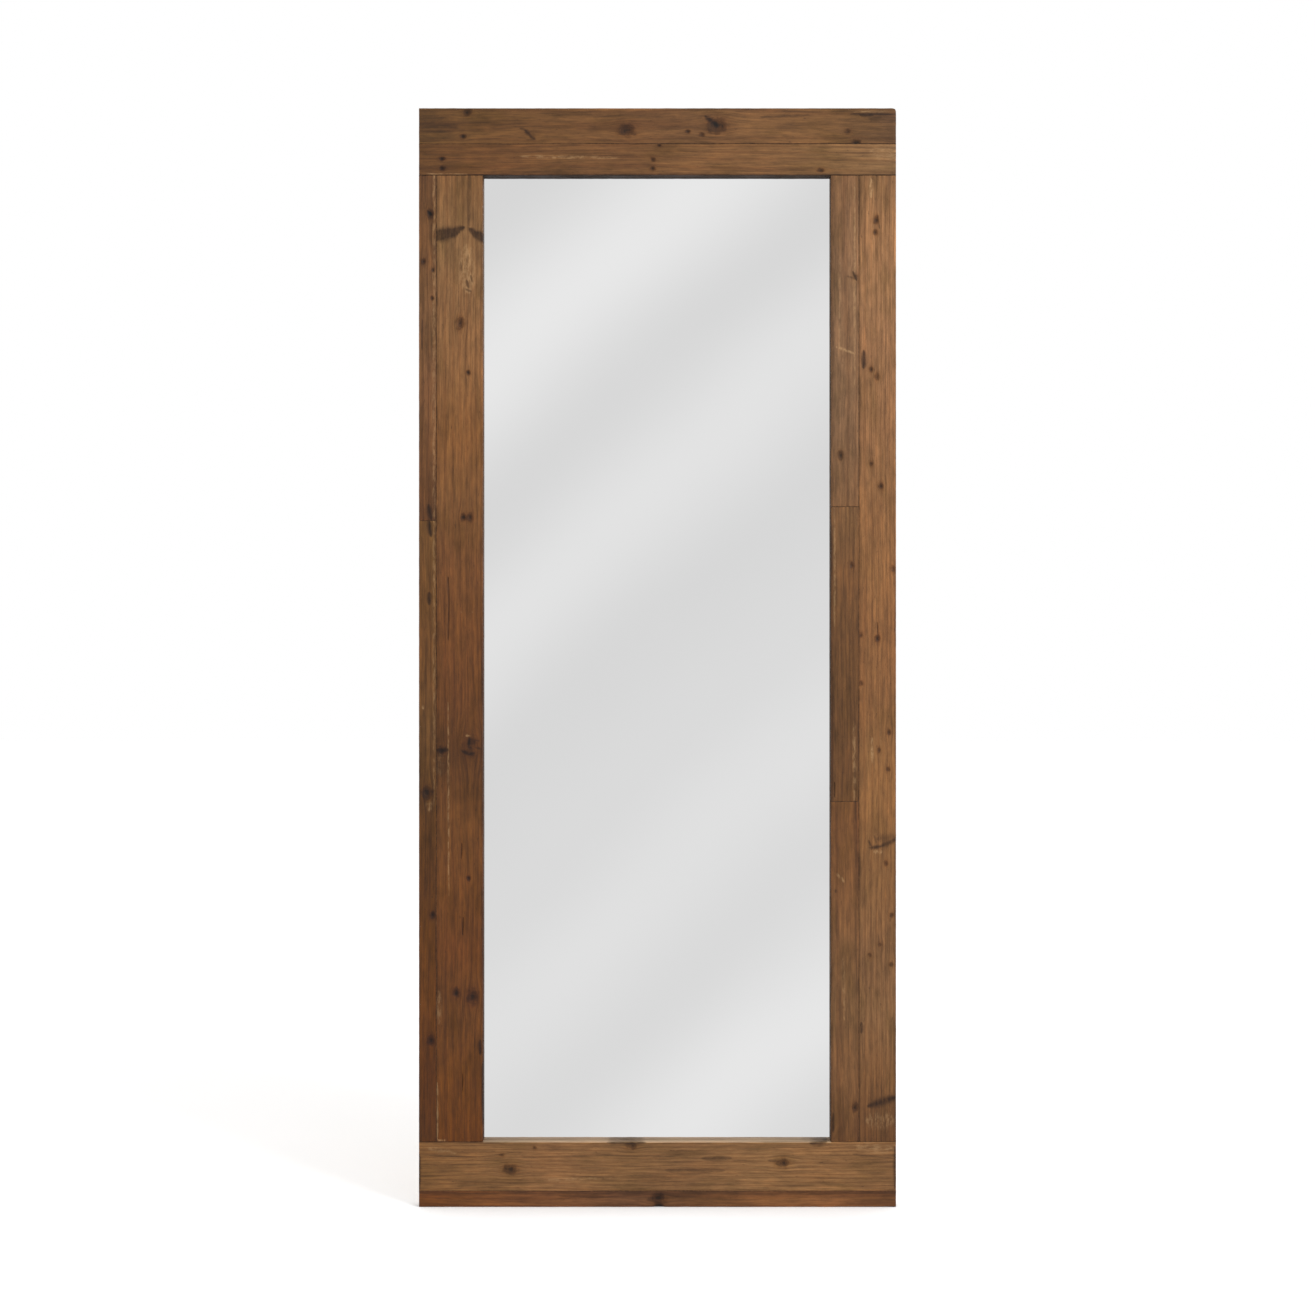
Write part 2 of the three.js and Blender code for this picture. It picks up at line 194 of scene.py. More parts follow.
world = bpy.data.worlds.new("white_room")
bpy.context.scene.world = world
world.use_nodes = True
tree = world.node_tree
tree.nodes.clear()
way = node(tree, "SeparateXYZ", {0: node(tree, "TexCoord").outputs["Generated"]})
slant = maths(tree, "SUBTRACT", maths(tree, "MULTIPLY", way.outputs[0], SLANT), way.outputs[2])
soft = node(tree, "TexNoise", {"Vector": node(tree, "TexCoord").outputs["Generated"],
                               "Scale": 9.0, "Detail": 1.0})
wander = maths(tree, "MULTIPLY", maths(tree, "SUBTRACT", soft.outputs[0], 0.5), RAGGED_FOLD)
bent = maths(tree, "ADD", slant, wander)
where = maths(tree, "DIVIDE", maths(tree, "SUBTRACT", bent, FOLD_START), FOLD_SPAN, clamp=True)
scrim = ramp(tree, where, [((at - FOLD_START) / FOLD_SPAN, level) for at, level in FOLDS], smooth=True)
behind = ramp(tree, maths(tree, "MULTIPLY", maths(tree, "ADD", way.outputs[2], 1.0), 0.5),
              [(0.2, 0.25), (0.45, 0.55), (0.55, 0.95), (1.0, 1.1)], smooth=True)
shown = mix(tree, "MIX", maths(tree, "GREATER_THAN", way.outputs[1], 0.0), scrim, behind)
path = node(tree, "LightPath")
even = node(tree, "Background", {"Color": (1, 1, 1, 1), "Strength": ROOM_LIGHT}).outputs[0]
mirrored = node(tree, "Background", {"Color": shown, "Strength": 1.0}).outputs[0]
backdrop = node(tree, "Background", {"Color": (1, 1, 1, 1), "Strength": 1.0}).outputs[0]
lit = node(tree, "MixShader", {0: path.outputs["Is Glossy Ray"], 1: even, 2: mirrored})
seen = node(tree, "MixShader", {0: path.outputs["Is Camera Ray"], 1: lit.outputs[0], 2: backdrop})
node(tree, "OutputWorld", {"Surface": seen.outputs[0]})
print("The room is white, with", len(FOLDS), "marks of light along the scrim")

# %% Floor
FLOOR_SIDE = 30.0
FLOOR_GLOW = 0.05  # so that its far edge melts into the white behind it
FLOOR_DROP = 0.5 * MM  # a hair below the mirror's foot

bpy.ops.object.select_all(action="DESELECT")
bpy.ops.mesh.primitive_plane_add(size=FLOOR_SIDE, location=(0, 0, -FLOOR_DROP))
floor = bpy.context.object
floor.name = "studio_floor"
bpy.ops.object.transform_apply(location=True)
floor_finish, tree, shader = finish("pale_floor", Roughness=0.9, Emission_Color=(1, 1, 1, 1),
                                    Emission_Strength=FLOOR_GLOW)
mottle = node(tree, "TexNoise", {"Vector": object_place(tree), "Scale": 3.0, "Detail": 3.0}).outputs[0]
tree.links.new(ramp(tree, mottle, [(0.3, 0.97), (0.7, 0.99)]), shader.inputs["Base Color"])
floor.data.materials.append(floor_finish)
floor.visible_glossy = False
print("The floor is", FLOOR_SIDE, "m square")


# %% Lights
def softbox(name, place, aim, size, power):
    """A rectangular lamp at a place, turned towards another place."""
    data = bpy.data.lights.new(name, "AREA")
    data.shape = "RECTANGLE"
    data.size, data.size_y = size
    data.energy = power
    lamp = bpy.data.objects.new(name, data)
    lamp.location = place
    lamp.rotation_euler = (Vector(aim) - Vector(place)).to_track_quat("-Z", "Y").to_euler()
    bpy.context.scene.collection.objects.link(lamp)
    print(name, "is at", place, "with", power, "W")


softbox("key_light", (3.2, -4.2, 3.6), (0, 0, 0.9), (1.8, 1.8), 180)

# %% [markdown]
# ## Working with operators
#
# The pieces are modelled as by hand: a primitive, then operators in edit mode on a selection. By
# hand the selection is made with the mouse. In a script it is made by place: these helpers measure
# every edge or face at once and select those that fit.


# %% Helpers for modelling
X, Y, Z = 0, 1, 2


def work_on(piece):
    """Makes the piece the only selected object, and the active one."""
    bpy.ops.object.select_all(action="DESELECT")
    piece.select_set(True)
    bpy.context.view_layer.objects.active = piece


def points(piece):
    """The piece's vertices, one row each."""
    found = np.empty(len(piece.data.vertices) * 3, np.float32)
    piece.data.vertices.foreach_get("co", found)
    return found.reshape(-1, 3)


def edge_ends(piece):
    """The two ends of every edge of the piece."""
    ends = np.empty(len(piece.data.edges) * 2, np.int32)
    piece.data.edges.foreach_get("vertices", ends)
    return points(piece)[ends.reshape(-1, 2)]


def edit_edges(piece, wanted):
    """Opens edit mode with the edges selected whose place in `wanted` is true."""
    work_on(piece)
    bpy.context.tool_settings.mesh_select_mode = (False, True, False)
    mesh = piece.data
    mesh.vertices.foreach_set("select", np.zeros(len(mesh.vertices), bool))
    mesh.polygons.foreach_set("select", np.zeros(len(mesh.polygons), bool))
    mesh.edges.foreach_set("select", wanted)
    bpy.ops.object.mode_set(mode="EDIT")


def edit_faces(piece, wanted):
    """Opens edit mode with the faces selected whose place in `wanted` is true."""
    work_on(piece)
    bpy.context.tool_settings.mesh_select_mode = (False, False, True)
    mesh = piece.data
    mesh.vertices.foreach_set("select", np.zeros(len(mesh.vertices), bool))
    mesh.edges.foreach_set("select", np.zeros(len(mesh.edges), bool))
    mesh.polygons.foreach_set("select", wanted)
    bpy.ops.object.mode_set(mode="EDIT")


def leave_edit():
    """Back to object mode, which writes the edits into the mesh."""
    bpy.ops.object.mode_set(mode="OBJECT")


def block(name, low, high):
    """A box between two corners, with its place in its mesh."""
    bpy.ops.object.select_all(action="DESELECT")
    low, high = np.array(low), np.array(high)
    bpy.ops.mesh.primitive_cube_add(size=1, location=(low + high) / 2, scale=high - low)
    piece = bpy.context.object
    piece.name = piece.data.name = name
    bpy.ops.object.transform_apply(location=True, rotation=True, scale=True)
    return piece


def apply_modifier(piece, kind, **settings):
    """Adds a modifier, sets it and applies it."""
    work_on(piece)
    modifier = piece.modifiers.new(kind.lower(), kind)
    for name, value in settings.items():
        setattr(modifier, name, value)
    bpy.ops.object.modifier_apply(modifier=modifier.name)


def hand_over(piece, material, *nodes, body="frame"):
    """Gives the finished piece its material and its body, and hides the CAD nodes that it stands for."""
    piece.data.materials.clear()
    piece.data.materials.append(material)
    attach(piece, body)
    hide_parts(*nodes)


# %% [markdown]
# ## The boards
#
# Reclaimed boards were cut, planed a little and waxed. Their faces are nearly flat, but the arrises
# are rubbed round, the soft early wood is worn lower than the hard late wood, knots stand in
# hollows, and long checks have opened along the grain.
#
# One way would be a plain box with a bump map, but its edges stay razor straight. So each board is
# a block whose edges are bevelled and whose front is cut into a fine grid. Weights are then
# painted on that grid, which say where the wood is worn or pressed, and Displace modifiers push
# the surface in by those weights. The same numbers are kept as attributes, so that the colour of
# a knot lies exactly where its hollow does.
#
# A board is described as a joiner would mark it: along it from its left or lower end, and across
# it from its left or lower edge, in millimetres.

# %% Cut a block into a grid
ALONG_CELL = 2.0 * MM
ACROSS_CELL = 1.25 * MM
DEPTH_CELL = 5.0 * MM
ROUNDING = 0.5 * MM  # radius of a rubbed arris
MOST_CUTS = 100  # the subdivide operator makes no more in one go
HAIR = 0.1 * MM  # places closer than this count as the same


def cut_cells(piece, axis, cell, keep_from=None):
    """Cuts the edges along an axis into cells. Edges deeper than `keep_from` stay whole."""
    parts = math.ceil(np.ptp(points(piece)[:, axis]) / cell)
    rough = math.ceil(math.sqrt(parts))
    for cuts in (rough - 1, math.ceil(parts / rough) - 1):
        ends = edge_ends(piece)
        run = ends[:, 1] - ends[:, 0]
        wanted = np.abs(run[:, axis]) > 0.999 * np.linalg.norm(run, axis=1)
        if keep_from is not None:
            wanted &= ends[:, :, Y].max(axis=1) < keep_from
        if cuts:
            edit_edges(piece, wanted)
            bpy.ops.mesh.subdivide(number_cuts=min(cuts, MOST_CUTS))
            leave_edit()


def board_block(name, low, high, along):
    """A block with rubbed arrises on its front and ends, and a fine grid on its front."""
    piece = block(name, low, high)
    ends = edge_ends(piece)
    at_back = (ends[:, :, Y] > high[Y] - HAIR).all(axis=1)
    edit_edges(piece, ~at_back)
    bpy.ops.mesh.bevel(offset=ROUNDING, segments=3, affect="EDGES")
    leave_edit()
    cut_cells(piece, along, ALONG_CELL)
    cut_cells(piece, Y, DEPTH_CELL)
    cut_cells(piece, X if along == Z else Z, ACROSS_CELL, keep_from=high[Y] - HAIR)
    return piece


# %% [markdown]
# A knot is written as its place along and across the board and its radius. A stroke is written as
# the places of its two ends and half of its breadth. Either may have its strength as a last number.
# The marks are fields: a number at every vertex, which falls off with the distance from the mark.
# Grain lines part round a knot as water does round a stone. That is done by bending the
# coordinate across the board before any grain is drawn on it.


# %% Fields of marks
KNOT_LENGTH = 1.35  # a knot is this much longer along the board than across it
KNOT_FADE = 2.5  # radii over which a knot's field falls to nothing
STROKE_SPREAD = 1.7  # a stroke fades out at this many times its radius
BEND_SHARE = 0.85  # how far a grain line is pushed aside by a knot
BEND_ACROSS, BEND_ALONG = 1.6, 3.2  # radii over which it is pushed


def fade(distance, full, none):
    """1 up to `full`, 0 from `none` on, and a smooth fall between them, in either direction."""
    t = np.clip((none - distance) / (none - full), 0, 1)
    return t * t * (3 - 2 * t)


def knot_field(along, across, knots):
    """A knot's strength in its heart, 0.6 of that at its rim, and 0 where it has faded out."""
    field = np.zeros(len(along))
    for at, over, radius, *strength in knots:
        reach = np.hypot((along - at) / (KNOT_LENGTH * radius), (across - over) / radius)
        field = np.maximum(field, (strength or [1])[0] * (1 - reach / KNOT_FADE))
    return field


def stroke_field(along, across, strokes):
    """A stroke's strength on its line, and 0 beyond its reach. It tapers towards both of its ends."""
    field = np.zeros(len(along))
    place = np.stack([along, across], axis=1)
    for *ends, radius, strength in [(*s, 1)[:6] for s in strokes]:
        start, end = np.array(ends[:2], float), np.array(ends[2:], float)
        run = end - start
        share = np.clip((place - start) @ run / max(run @ run, 1e-9), 0, 1)
        away = np.linalg.norm(place - start - share[:, None] * run, axis=1)
        reach = STROKE_SPREAD * radius * (1.05 - (2 * share - 1) ** 2) ** 0.4
        field = np.maximum(field, strength * fade(away / reach, 0, 1))
    return field


def wavering(along, seed):
    """How far a grain line strays sideways on its way along the board."""
    return 1.6 * np.sin(along / 173 + seed) + 0.9 * np.sin(along / 61 + 2.1 * seed)


def grain_across(along, across, knots, seed):
    """The across coordinate, bent so that lines of equal value flow round the knots."""
    bent = across + wavering(along, seed)
    for at, over, radius, *_ in knots:
        pull = np.exp(-(((across - over) / (BEND_ACROSS * radius)) ** 2)
                      - ((along - at) / (BEND_ALONG * radius)) ** 2)
        bent = bent - BEND_SHARE * pull * (across - over)
    return bent


# %% [markdown]
# Blender keeps such fields in two forms. A vertex group is a weight that modifiers read. An
# attribute is a value that shaders read.


# %% Paint weights and attributes
def add_group(piece, name, weights):
    """A vertex group, in a hundred steps of weight."""
    group = piece.vertex_groups.new(name=name)
    steps = np.round(np.clip(weights, 0, 1) * 100).astype(int)
    for step in np.unique(steps[steps > 0]):
        group.add(np.flatnonzero(steps == step).tolist(), step / 100, "REPLACE")


def add_value(piece, name, values):
    """An attribute with one number for each vertex."""
    attribute = piece.data.attributes.new(name, "FLOAT", "POINT")
    attribute.data.foreach_set("value", np.asarray(values, np.float32))


def add_vector(piece, name, values):
    """An attribute with three numbers for each vertex."""
    attribute = piece.data.attributes.new(name, "FLOAT_VECTOR", "POINT")
    attribute.data.foreach_set("vector", np.asarray(values, np.float32).ravel())


def add_uv(piece, name, values):
    """A UV map, from two numbers for each vertex."""
    corners = np.empty(len(piece.data.loops), np.int32)
    piece.data.loops.foreach_get("vertex_index", corners)
    layer = piece.data.uv_layers.new(name=name)
    layer.data.foreach_set("uv", np.asarray(values, np.float32)[corners].ravel())


# %% [markdown]
# Modifiers wear the board down, each only inwards, so that the board never outgrows its design: a
# rough wear of the arrises, a slow unevenness of the whole face, fine ridges of late wood, and the
# hollows of knots, checks and chips. The arrises come first, while every face is still true: later
# a tilted face could push its neighbours outwards. One corner of the frame has been knocked
# round, by a push along each of its two sides.

# %% Wear a board down
SKIN_WEAR = 0.7 * MM
RIDGE_WEAR = 0.35 * MM
ARRIS_WEAR = 0.5 * MM
HOLLOW_DEPTH = 2.4 * MM
KNOT_HOLLOW = 0.5  # how deep a knot lies, as a share of that
ARRIS_REACH = 4.0  # millimetres over which the wear of an arris fades
BACK_MARGIN = 4.0  # millimetres above the board's back that stay as sawn
GRAIN_STRETCH = 15.0  # ridges are this much longer than they are wide
# The raw colour below a raw edge is painted paler, partly for the light that falls on it from above.
RAW_TOPLIT_LIP = 1.6  # millimetres of face that stay raw below a raw edge
KNOCK_SHARE = 0.27  # how far a corner moves back, as a share of the radius it is rounded to


def clouds(name, size, depth):
    """A soft noise for a Displace modifier."""
    texture = bpy.data.textures.new(name, "CLOUDS")
    texture.noise_scale = size
    texture.noise_depth = depth
    return texture


skin_clouds = clouds("skin_clouds", 0.11, 1)
ridge_clouds = clouds("ridge_clouds", 0.0034, 1)
arris_clouds = clouds("arris_clouds", 0.016, 2)


def wear(piece, knocked):
    """Wears the piece down with Displace modifiers, in the order told above."""
    backwards = dict(direction="Y", mid_level=0.0)
    if knocked:
        for side in ("X", "Z"):
            apply_modifier(piece, "DISPLACE", direction=side, mid_level=0.0,
                           vertex_group="corner", strength=-KNOCK_SHARE * knocked * MM)
    apply_modifier(piece, "DISPLACE", texture=arris_clouds, texture_coords="LOCAL",
                   vertex_group="arris", strength=-ARRIS_WEAR, direction="NORMAL", mid_level=0.0)
    apply_modifier(piece, "DISPLACE", texture=skin_clouds, texture_coords="LOCAL",
                   vertex_group="skin", strength=SKIN_WEAR, **backwards)
    apply_modifier(piece, "DISPLACE", texture=ridge_clouds, texture_coords="UV",
                   uv_layer="grain", vertex_group="skin", strength=RIDGE_WEAR, **backwards)
    apply_modifier(piece, "DISPLACE", vertex_group="hollow", strength=HOLLOW_DEPTH, **backwards)


# %% Make a board from its marks
def make_board(cad_node, seed, knots=(), smears=(), pales=(), checks=(), chips=(), raw=(0, 0),
               knocked=0):
    """The board that stands for a CAD node, with its marks painted on and worn in.

    Between the two places `raw` along the board, its upper side has no wax or dirt on it, and is
    painted paler, partly for the light that falls on it from above.
    `knocked` is the radius to which its upper right corner is worn round.
    """
    low, high = [np.array(corner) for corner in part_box(cad_node)]
    lies = high[X] - low[X] > high[Z] - low[Z]
    length, width = (X, Z) if lies else (Z, X)
    piece = board_block(cad_node.replace("_board", "_worn_board"), low, high, length)

    place = (points(piece) - low) / MM
    along, across, deep = place[:, length], place[:, width], place[:, Y]
    size = (high - low) / MM
    edges = np.stack([deep, across, size[width] - across, along, size[length] - along])
    arris = fade(np.sort(edges, axis=0)[1], 0, ARRIS_REACH)
    knot = knot_field(along, across, knots)
    drift = across + 0.6 * wavering(3 * along, seed)
    check = stroke_field(along, drift, [(*c, 0.8) for c in checks])
    chip = knot_field(along, across, chips)
    fresh = fade(size[Y] - deep, size[Y], BACK_MARGIN)

    add_group(piece, "skin", fresh)
    add_group(piece, "arris", arris * fresh)
    if knocked:
        to_corner = np.hypot(size[length] - along, size[width] - across)
        add_group(piece, "corner", fade(to_corner, 0, 1.4 * knocked))
    hollow = np.maximum.reduce([KNOT_HOLLOW * fade(1 - knot, 0.1, 0.45), check, chip])
    add_group(piece, "hollow", hollow * fade(deep, 4, 12))
    bent = grain_across(along, across, knots, seed)
    add_vector(piece, "flow", np.stack([bent, deep, along], axis=1) * MM)
    add_uv(piece, "grain", np.stack([bent, along / GRAIN_STRETCH], axis=1) * MM)
    add_value(piece, "knot", knot)
    # The smear field holds dirt and bark, and also painted shade along some seams and edges.
    add_value(piece, "smear", stroke_field(along, across, smears))
    # The pale field holds worn wax, and also painted highlights along edges that face the light.
    add_value(piece, "pale", stroke_field(along, across, pales))
    add_value(piece, "check", np.maximum(check, chip))
    # The arris field also sets a lighter colour: rubbed wood, and a painted highlight on rounded edges.
    add_value(piece, "rubbed_and_highlit", arris)
    # The raw mask: the unwaxed upper side and its lip, painted paler partly for the light from above.
    bare_and_toplit = (size[width] - across < RAW_TOPLIT_LIP) & (along > raw[0]) & (along < raw[1])
    add_value(piece, "raw", bare_and_toplit)
    wear(piece, knocked)
    work_on(piece)
    bpy.ops.object.shade_smooth()
    print(piece.name, "has", len(piece.data.polygons), "faces and", len(knots), "knots")
    return piece


# %% [markdown]
# ## The finish of the old pine
#
# Pine is light early wood with a thin dark line of late wood for each year. On a board these lines
# are slices through nested rings, so the grain is drawn as rings about a pith line behind the
# face: the face then shows lines, and the ends show arcs, as sawn wood does. Longer streaks, fine
# fibres, a cloudy patina and dark specks lie over them. Each board has its own pith, ring width and
# colours, because no two of these boards came from one tree.

# %% Grain
LIGHT_LEVEL = (1.34, 1.35, 1.5)  # how much brighter the light makes its red, green and blue
SHEEN = 0.015  # how much white the wax adds


def stretched(tree, flow, squeeze, seed):
    """The flow coordinate, squeezed along the grain so that a pattern on it runs long."""
    made = node(tree, "Mapping", {"Vector": flow, "Location": (seed, 2 * seed, 3 * seed),
                                  "Scale": (1, 1, squeeze)})
    return made.outputs[0]


def grain_tone(tree, flow, pith, ring, seed):
    """A colour to multiply the wood's own colour by, and a height for the bump."""
    about = node(tree, "Mapping", {"Vector": flow, "Location": (*pith, seed), "Scale": (1, 1, 0.07)})
    rings = node(tree, "TexWave", {"Vector": about.outputs[0], "Scale": math.pi / 10 / ring,
                                   "Distortion": 5.0, "Detail": 2.0, "Detail Scale": 0.3},
                 wave_type="RINGS", rings_direction="Z", wave_profile="SAW").outputs["Fac"]
    streaks = node(tree, "TexNoise", {"Vector": stretched(tree, flow, 0.055, seed), "Scale": 115.0,
                                      "Detail": 5.0, "Roughness": 0.68}).outputs[0]
    fibres = node(tree, "TexNoise", {"Vector": stretched(tree, flow, 0.025, seed), "Scale": 620.0,
                                     "Detail": 2.0}).outputs[0]
    late = ramp(tree, rings, [(0.0, (1.03, 1.03, 1.02)), (0.55, (1.0, 1.0, 1.0)),
                              (0.86, (0.82, 0.76, 0.7)), (1.0, (0.95, 0.94, 0.92))])
    bands = ramp(tree, streaks, [(0.3, (0.68, 0.65, 0.6)), (0.5, (1.0, 1.0, 1.0)),
                                 (0.7, (1.26, 1.27, 1.28))])
    hairs = ramp(tree, fibres, [(0.3, 0.78), (0.5, 1.0), (0.7, 1.2)])
    tone = mix(tree, "MULTIPLY", 1.0, mix(tree, "MULTIPLY", 1.0, late, bands), hairs)
    height = maths(tree, "ADD", maths(tree, "MULTIPLY", rings, -0.3), fibres)
    return tone, height, streaks


# %% [markdown]
# Over the grain come the marks, from the attributes that were painted on the board. A knot has a
# dark rim and a brown heart. A smear is dirt or old bark rubbed into the face; the long smears along
# some seams and edges are painted shade. A pale stroke is where the wax is gone; the long pale
# strokes on edges that face the light are painted highlights. In a check there is only dust and
# shade. Noise is added to each field before it is coloured, because a mark with a clean outline
# looks printed.


# %% Old pine
def field(tree, name, ragged, noise):
    """A painted attribute with a ragged outline."""
    raw = node(tree, "Attribute", attribute_name=name).outputs["Fac"]
    shake = maths(tree, "MULTIPLY", maths(tree, "SUBTRACT", noise, 0.5), ragged)
    near = maths(tree, "MULTIPLY", raw, 5.0, clamp=True)
    return maths(tree, "ADD", raw, maths(tree, "MULTIPLY", shake, near), clamp=True)


def old_pine(name, length, tones, pith=(0.02, 0.09), ring=0.0042, seed=0.0):
    """A waxed old board. `tones` are its paints at equal steps from its lower or left end."""
    material, tree, shader = finish(name, Specular_IOR_Level=0.25)
    flow = node(tree, "Attribute", attribute_name="flow").outputs["Vector"]
    along = node(tree, "SeparateXYZ", {0: flow}).outputs[2]
    share = maths(tree, "DIVIDE", along, length)
    own = [(i / (len(tones) - 1), tuple((np.array(paint(*rgb)) - SHEEN) / LIGHT_LEVEL))
           for i, rgb in enumerate(tones)]
    tone, height, streaks = grain_tone(tree, flow, pith, ring, seed)
    colour = mix(tree, "MULTIPLY", 1.0, ramp(tree, share, own), tone)

    cloudy = node(tree, "TexNoise", {"Vector": stretched(tree, flow, 0.35, seed + 1), "Scale": 34.0,
                                     "Detail": 3.0, "Roughness": 0.6}).outputs[0]
    patina = ramp(tree, cloudy, [(0.3, (0.8, 0.83, 0.78)), (0.5, (1, 1, 1)), (0.72, (1.14, 1.09, 1.0))])
    colour = mix(tree, "MULTIPLY", 1.0, colour, patina)
    flecks = node(tree, "TexNoise", {"Vector": stretched(tree, flow, 0.2, seed + 3), "Scale": 170.0,
                                     "Detail": 4.0, "Roughness": 0.7}).outputs[0]
    colour = mix(tree, "MULTIPLY", 1.0, colour,
                 ramp(tree, flecks, [(0.32, (0.76, 0.75, 0.72)), (0.5, (1, 1, 1)),
                                     (0.68, (1.22, 1.22, 1.21))]))
    ragged = node(tree, "TexNoise", {"Vector": stretched(tree, flow, 0.3, seed + 2), "Scale": 260.0,
                                     "Detail": 3.0, "Roughness": 0.65}).outputs[0]
    specks = ramp(tree, ragged, [(0.30, (0.5, 0.46, 0.44)), (0.36, (1, 1, 1))])
    colour = mix(tree, "MULTIPLY", 0.8, colour, specks)

    rough = maths(tree, "ADD", maths(tree, "MULTIPLY", ragged, 0.5), maths(tree, "MULTIPLY", streaks, 0.5))
    # Pale strokes: worn wax, and painted highlights along edges that face the light.
    pale = maths(tree, "MULTIPLY", field(tree, "pale", 2.4, rough),
                 ramp(tree, ragged, [(0.44, 0.15), (0.56, 0.6)]))
    colour = mix(tree, "MIX", pale, colour, (*paint(160, 126, 86), 1))
    # The raw colour: unwaxed wood, painted paler partly for the light that falls on the upper side from
    # above.
    sawn_and_toplit = mix(tree, "MULTIPLY", 1.0, (*paint(156, 131, 105), 1), mix(tree, "MULTIPLY", 0.8, tone, patina))
    raw = node(tree, "Attribute", attribute_name="raw").outputs["Fac"]
    colour = mix(tree, "MIX", raw, colour, sawn_and_toplit)
    # Smears: dirt and old bark, and painted shade along some seams and edges.
    smear = maths(tree, "MULTIPLY", field(tree, "smear", 1.1, rough),
                  ramp(tree, ragged, [(0.36, 0.8), (0.55, 1.0)]))
    colour = mix(tree, "MULTIPLY", smear, colour, (0.23, 0.19, 0.13, 1))
    lumpy = node(tree, "TexNoise", {"Vector": stretched(tree, flow, 0.6, seed), "Scale": 170.0,
                                    "Detail": 2.0}).outputs[0]
    knot = field(tree, "knot", 1.1, maths(tree, "ADD", maths(tree, "MULTIPLY", ragged, 0.35),
                                          maths(tree, "MULTIPLY", lumpy, 0.65)))
    rim = ramp(tree, knot, [(0.0, (1, 1, 1)), (0.35, (0.94, 0.91, 0.84)), (0.5, (0.78, 0.71, 0.58)),
                            (0.6, (0.48, 0.41, 0.28)), (0.66, (0.57, 0.49, 0.35)),
                            (0.72, (0.34, 0.28, 0.17)), (0.78, (0.44, 0.36, 0.22)),
                            (0.86, (0.22, 0.18, 0.09)), (1.0, (0.13, 0.11, 0.05))])
    colour = mix(tree, "MULTIPLY", 1.0, colour, rim)
    # Arrises are painted lighter in streaks: rubbed wood, and a painted highlight where a rounded edge
    # catches the light.
    rubbed_and_highlit = ramp(tree, streaks, [(0.35, (0.72, 0.68, 0.63)), (0.52, (1.1, 1.08, 1.04)),
                                  (0.7, (1.5, 1.42, 1.3))])
    arris = node(tree, "Attribute", attribute_name="rubbed_and_highlit").outputs["Fac"]
    colour = mix(tree, "MULTIPLY", arris, colour, rubbed_and_highlit)
    check = node(tree, "Attribute", attribute_name="check").outputs["Fac"]
    colour = mix(tree, "MULTIPLY", check, colour, (0.28, 0.23, 0.15, 1))
    tree.links.new(colour, shader.inputs["Base Color"])

    gloss = ramp(tree, cloudy, [(0.3, 0.75), (0.7, 0.55)])
    tree.links.new(gloss, shader.inputs["Roughness"])
    bump = node(tree, "Bump", {"Height": height, "Strength": 0.55, "Distance": 0.5 * MM})
    tree.links.new(bump.outputs[0], shader.inputs["Normal"])
    return material


def dress_board(cad_node, tones, pith=(0.02, 0.09), ring=0.0042, seed=0.0, **marks):
    """Makes a board, gives it its finish and hands it over."""
    piece = make_board(cad_node, seed, **marks)
    low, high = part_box(cad_node)
    length = max(high[X] - low[X], high[Z] - low[Z])
    material = old_pine(cad_node + "_finish", length, tones, pith, ring, seed)
    hand_over(piece, material, cad_node)
    return piece


# %% [markdown]
# ### The top rail
#
# Two boards. The upper one is cool brown, greenish with dirt at its left end, and has two large
# knots. The lower one is lighter towards the right, and bears the pairs of small holes that old
# nails left. Its lower edge and underside are darkened as painted shade, and its upper edge has a
# painted highlight.

# %% Top rail
dress_board(
    "top_rail_upper_board", seed=1.3, pith=(-0.03, 0.06), ring=0.0046,
    tones=[(97, 70, 45), (109, 77, 49), (114, 80, 52), (114, 80, 53), (111, 79, 54), (118, 84, 56),
           (115, 82, 54), (102, 74, 53)],
    knots=[(79, 51.3, 5), (72, 12, 3.5), (184, 14, 6, 0.5), (341, 22, 9), (441, 20, 3),
           (464, 15, 3), (489, 30, 11), (703, 20, 4, 0.8), (717, 2, 5)],
    smears=[(166, 25.5, 175, 22.5, 2, 0.7), (174, 22.5, 182, 14, 3.6), (181, 14, 191, 6.5, 2.8, 0.8),
            (176, 6, 191, 6.5, 1.5, 0.6), (469, 45, 489, 30, 4.5), (706, 48.8, 782, 48.2, 1.4),
            (722, 47, 745, 47, 2.8, 0.9), (738, 42, 784, 40, 7, 0.4), (-20, 41, 60, 28, 17, 0.5),
            (560, 44, 640, 47, 2.5, 0.6), (200, 50, 420, 45, 5, 0.35), (250, 0, 900, 0, 1.3, 0.9)],
    pales=[(712, 52.5, 770, 52.5, 1.4, 0.7)],
    knocked=4.5,
)
dress_board(
    "top_rail_lower_board", seed=2.9, pith=(0.01, 0.12), ring=0.0036,
    tones=[(98, 68, 44), (110, 75, 48), (112, 78, 51), (115, 80, 53), (117, 83, 55), (122, 87, 58),
           (128, 94, 63), (128, 96, 68)],
    knots=[(38, 27, 3.0), (38, 11, 3.3), (383, 26, 3.0), (383, 11, 3.2), (394, 49, 2.2), (659, 8, 3.4)],
    # The pale stroke at across 52.8 is a painted highlight on the upper edge, which faces up to the light.
    pales=[(742, 38, 784, 36, 12, 0.3), (165, 31, 330, 29, 2.8, 0.4), (5, 52.8, 330, 52.8, 1.4, 0.6),
           (0, 2, 80, 2, 1.4, 0.6)],
    # The strokes at across 0 darken the rail's lower edge and underside: painted shade under the top rail.
    smears=[(107, 4, 330, 5, 4, 0.4), (560, 36, 640, 34, 2, 0.3), (560, 0, 900, 0, 1.8, 0.9),
            (0, 0, 782, 0, 2.6)],
)
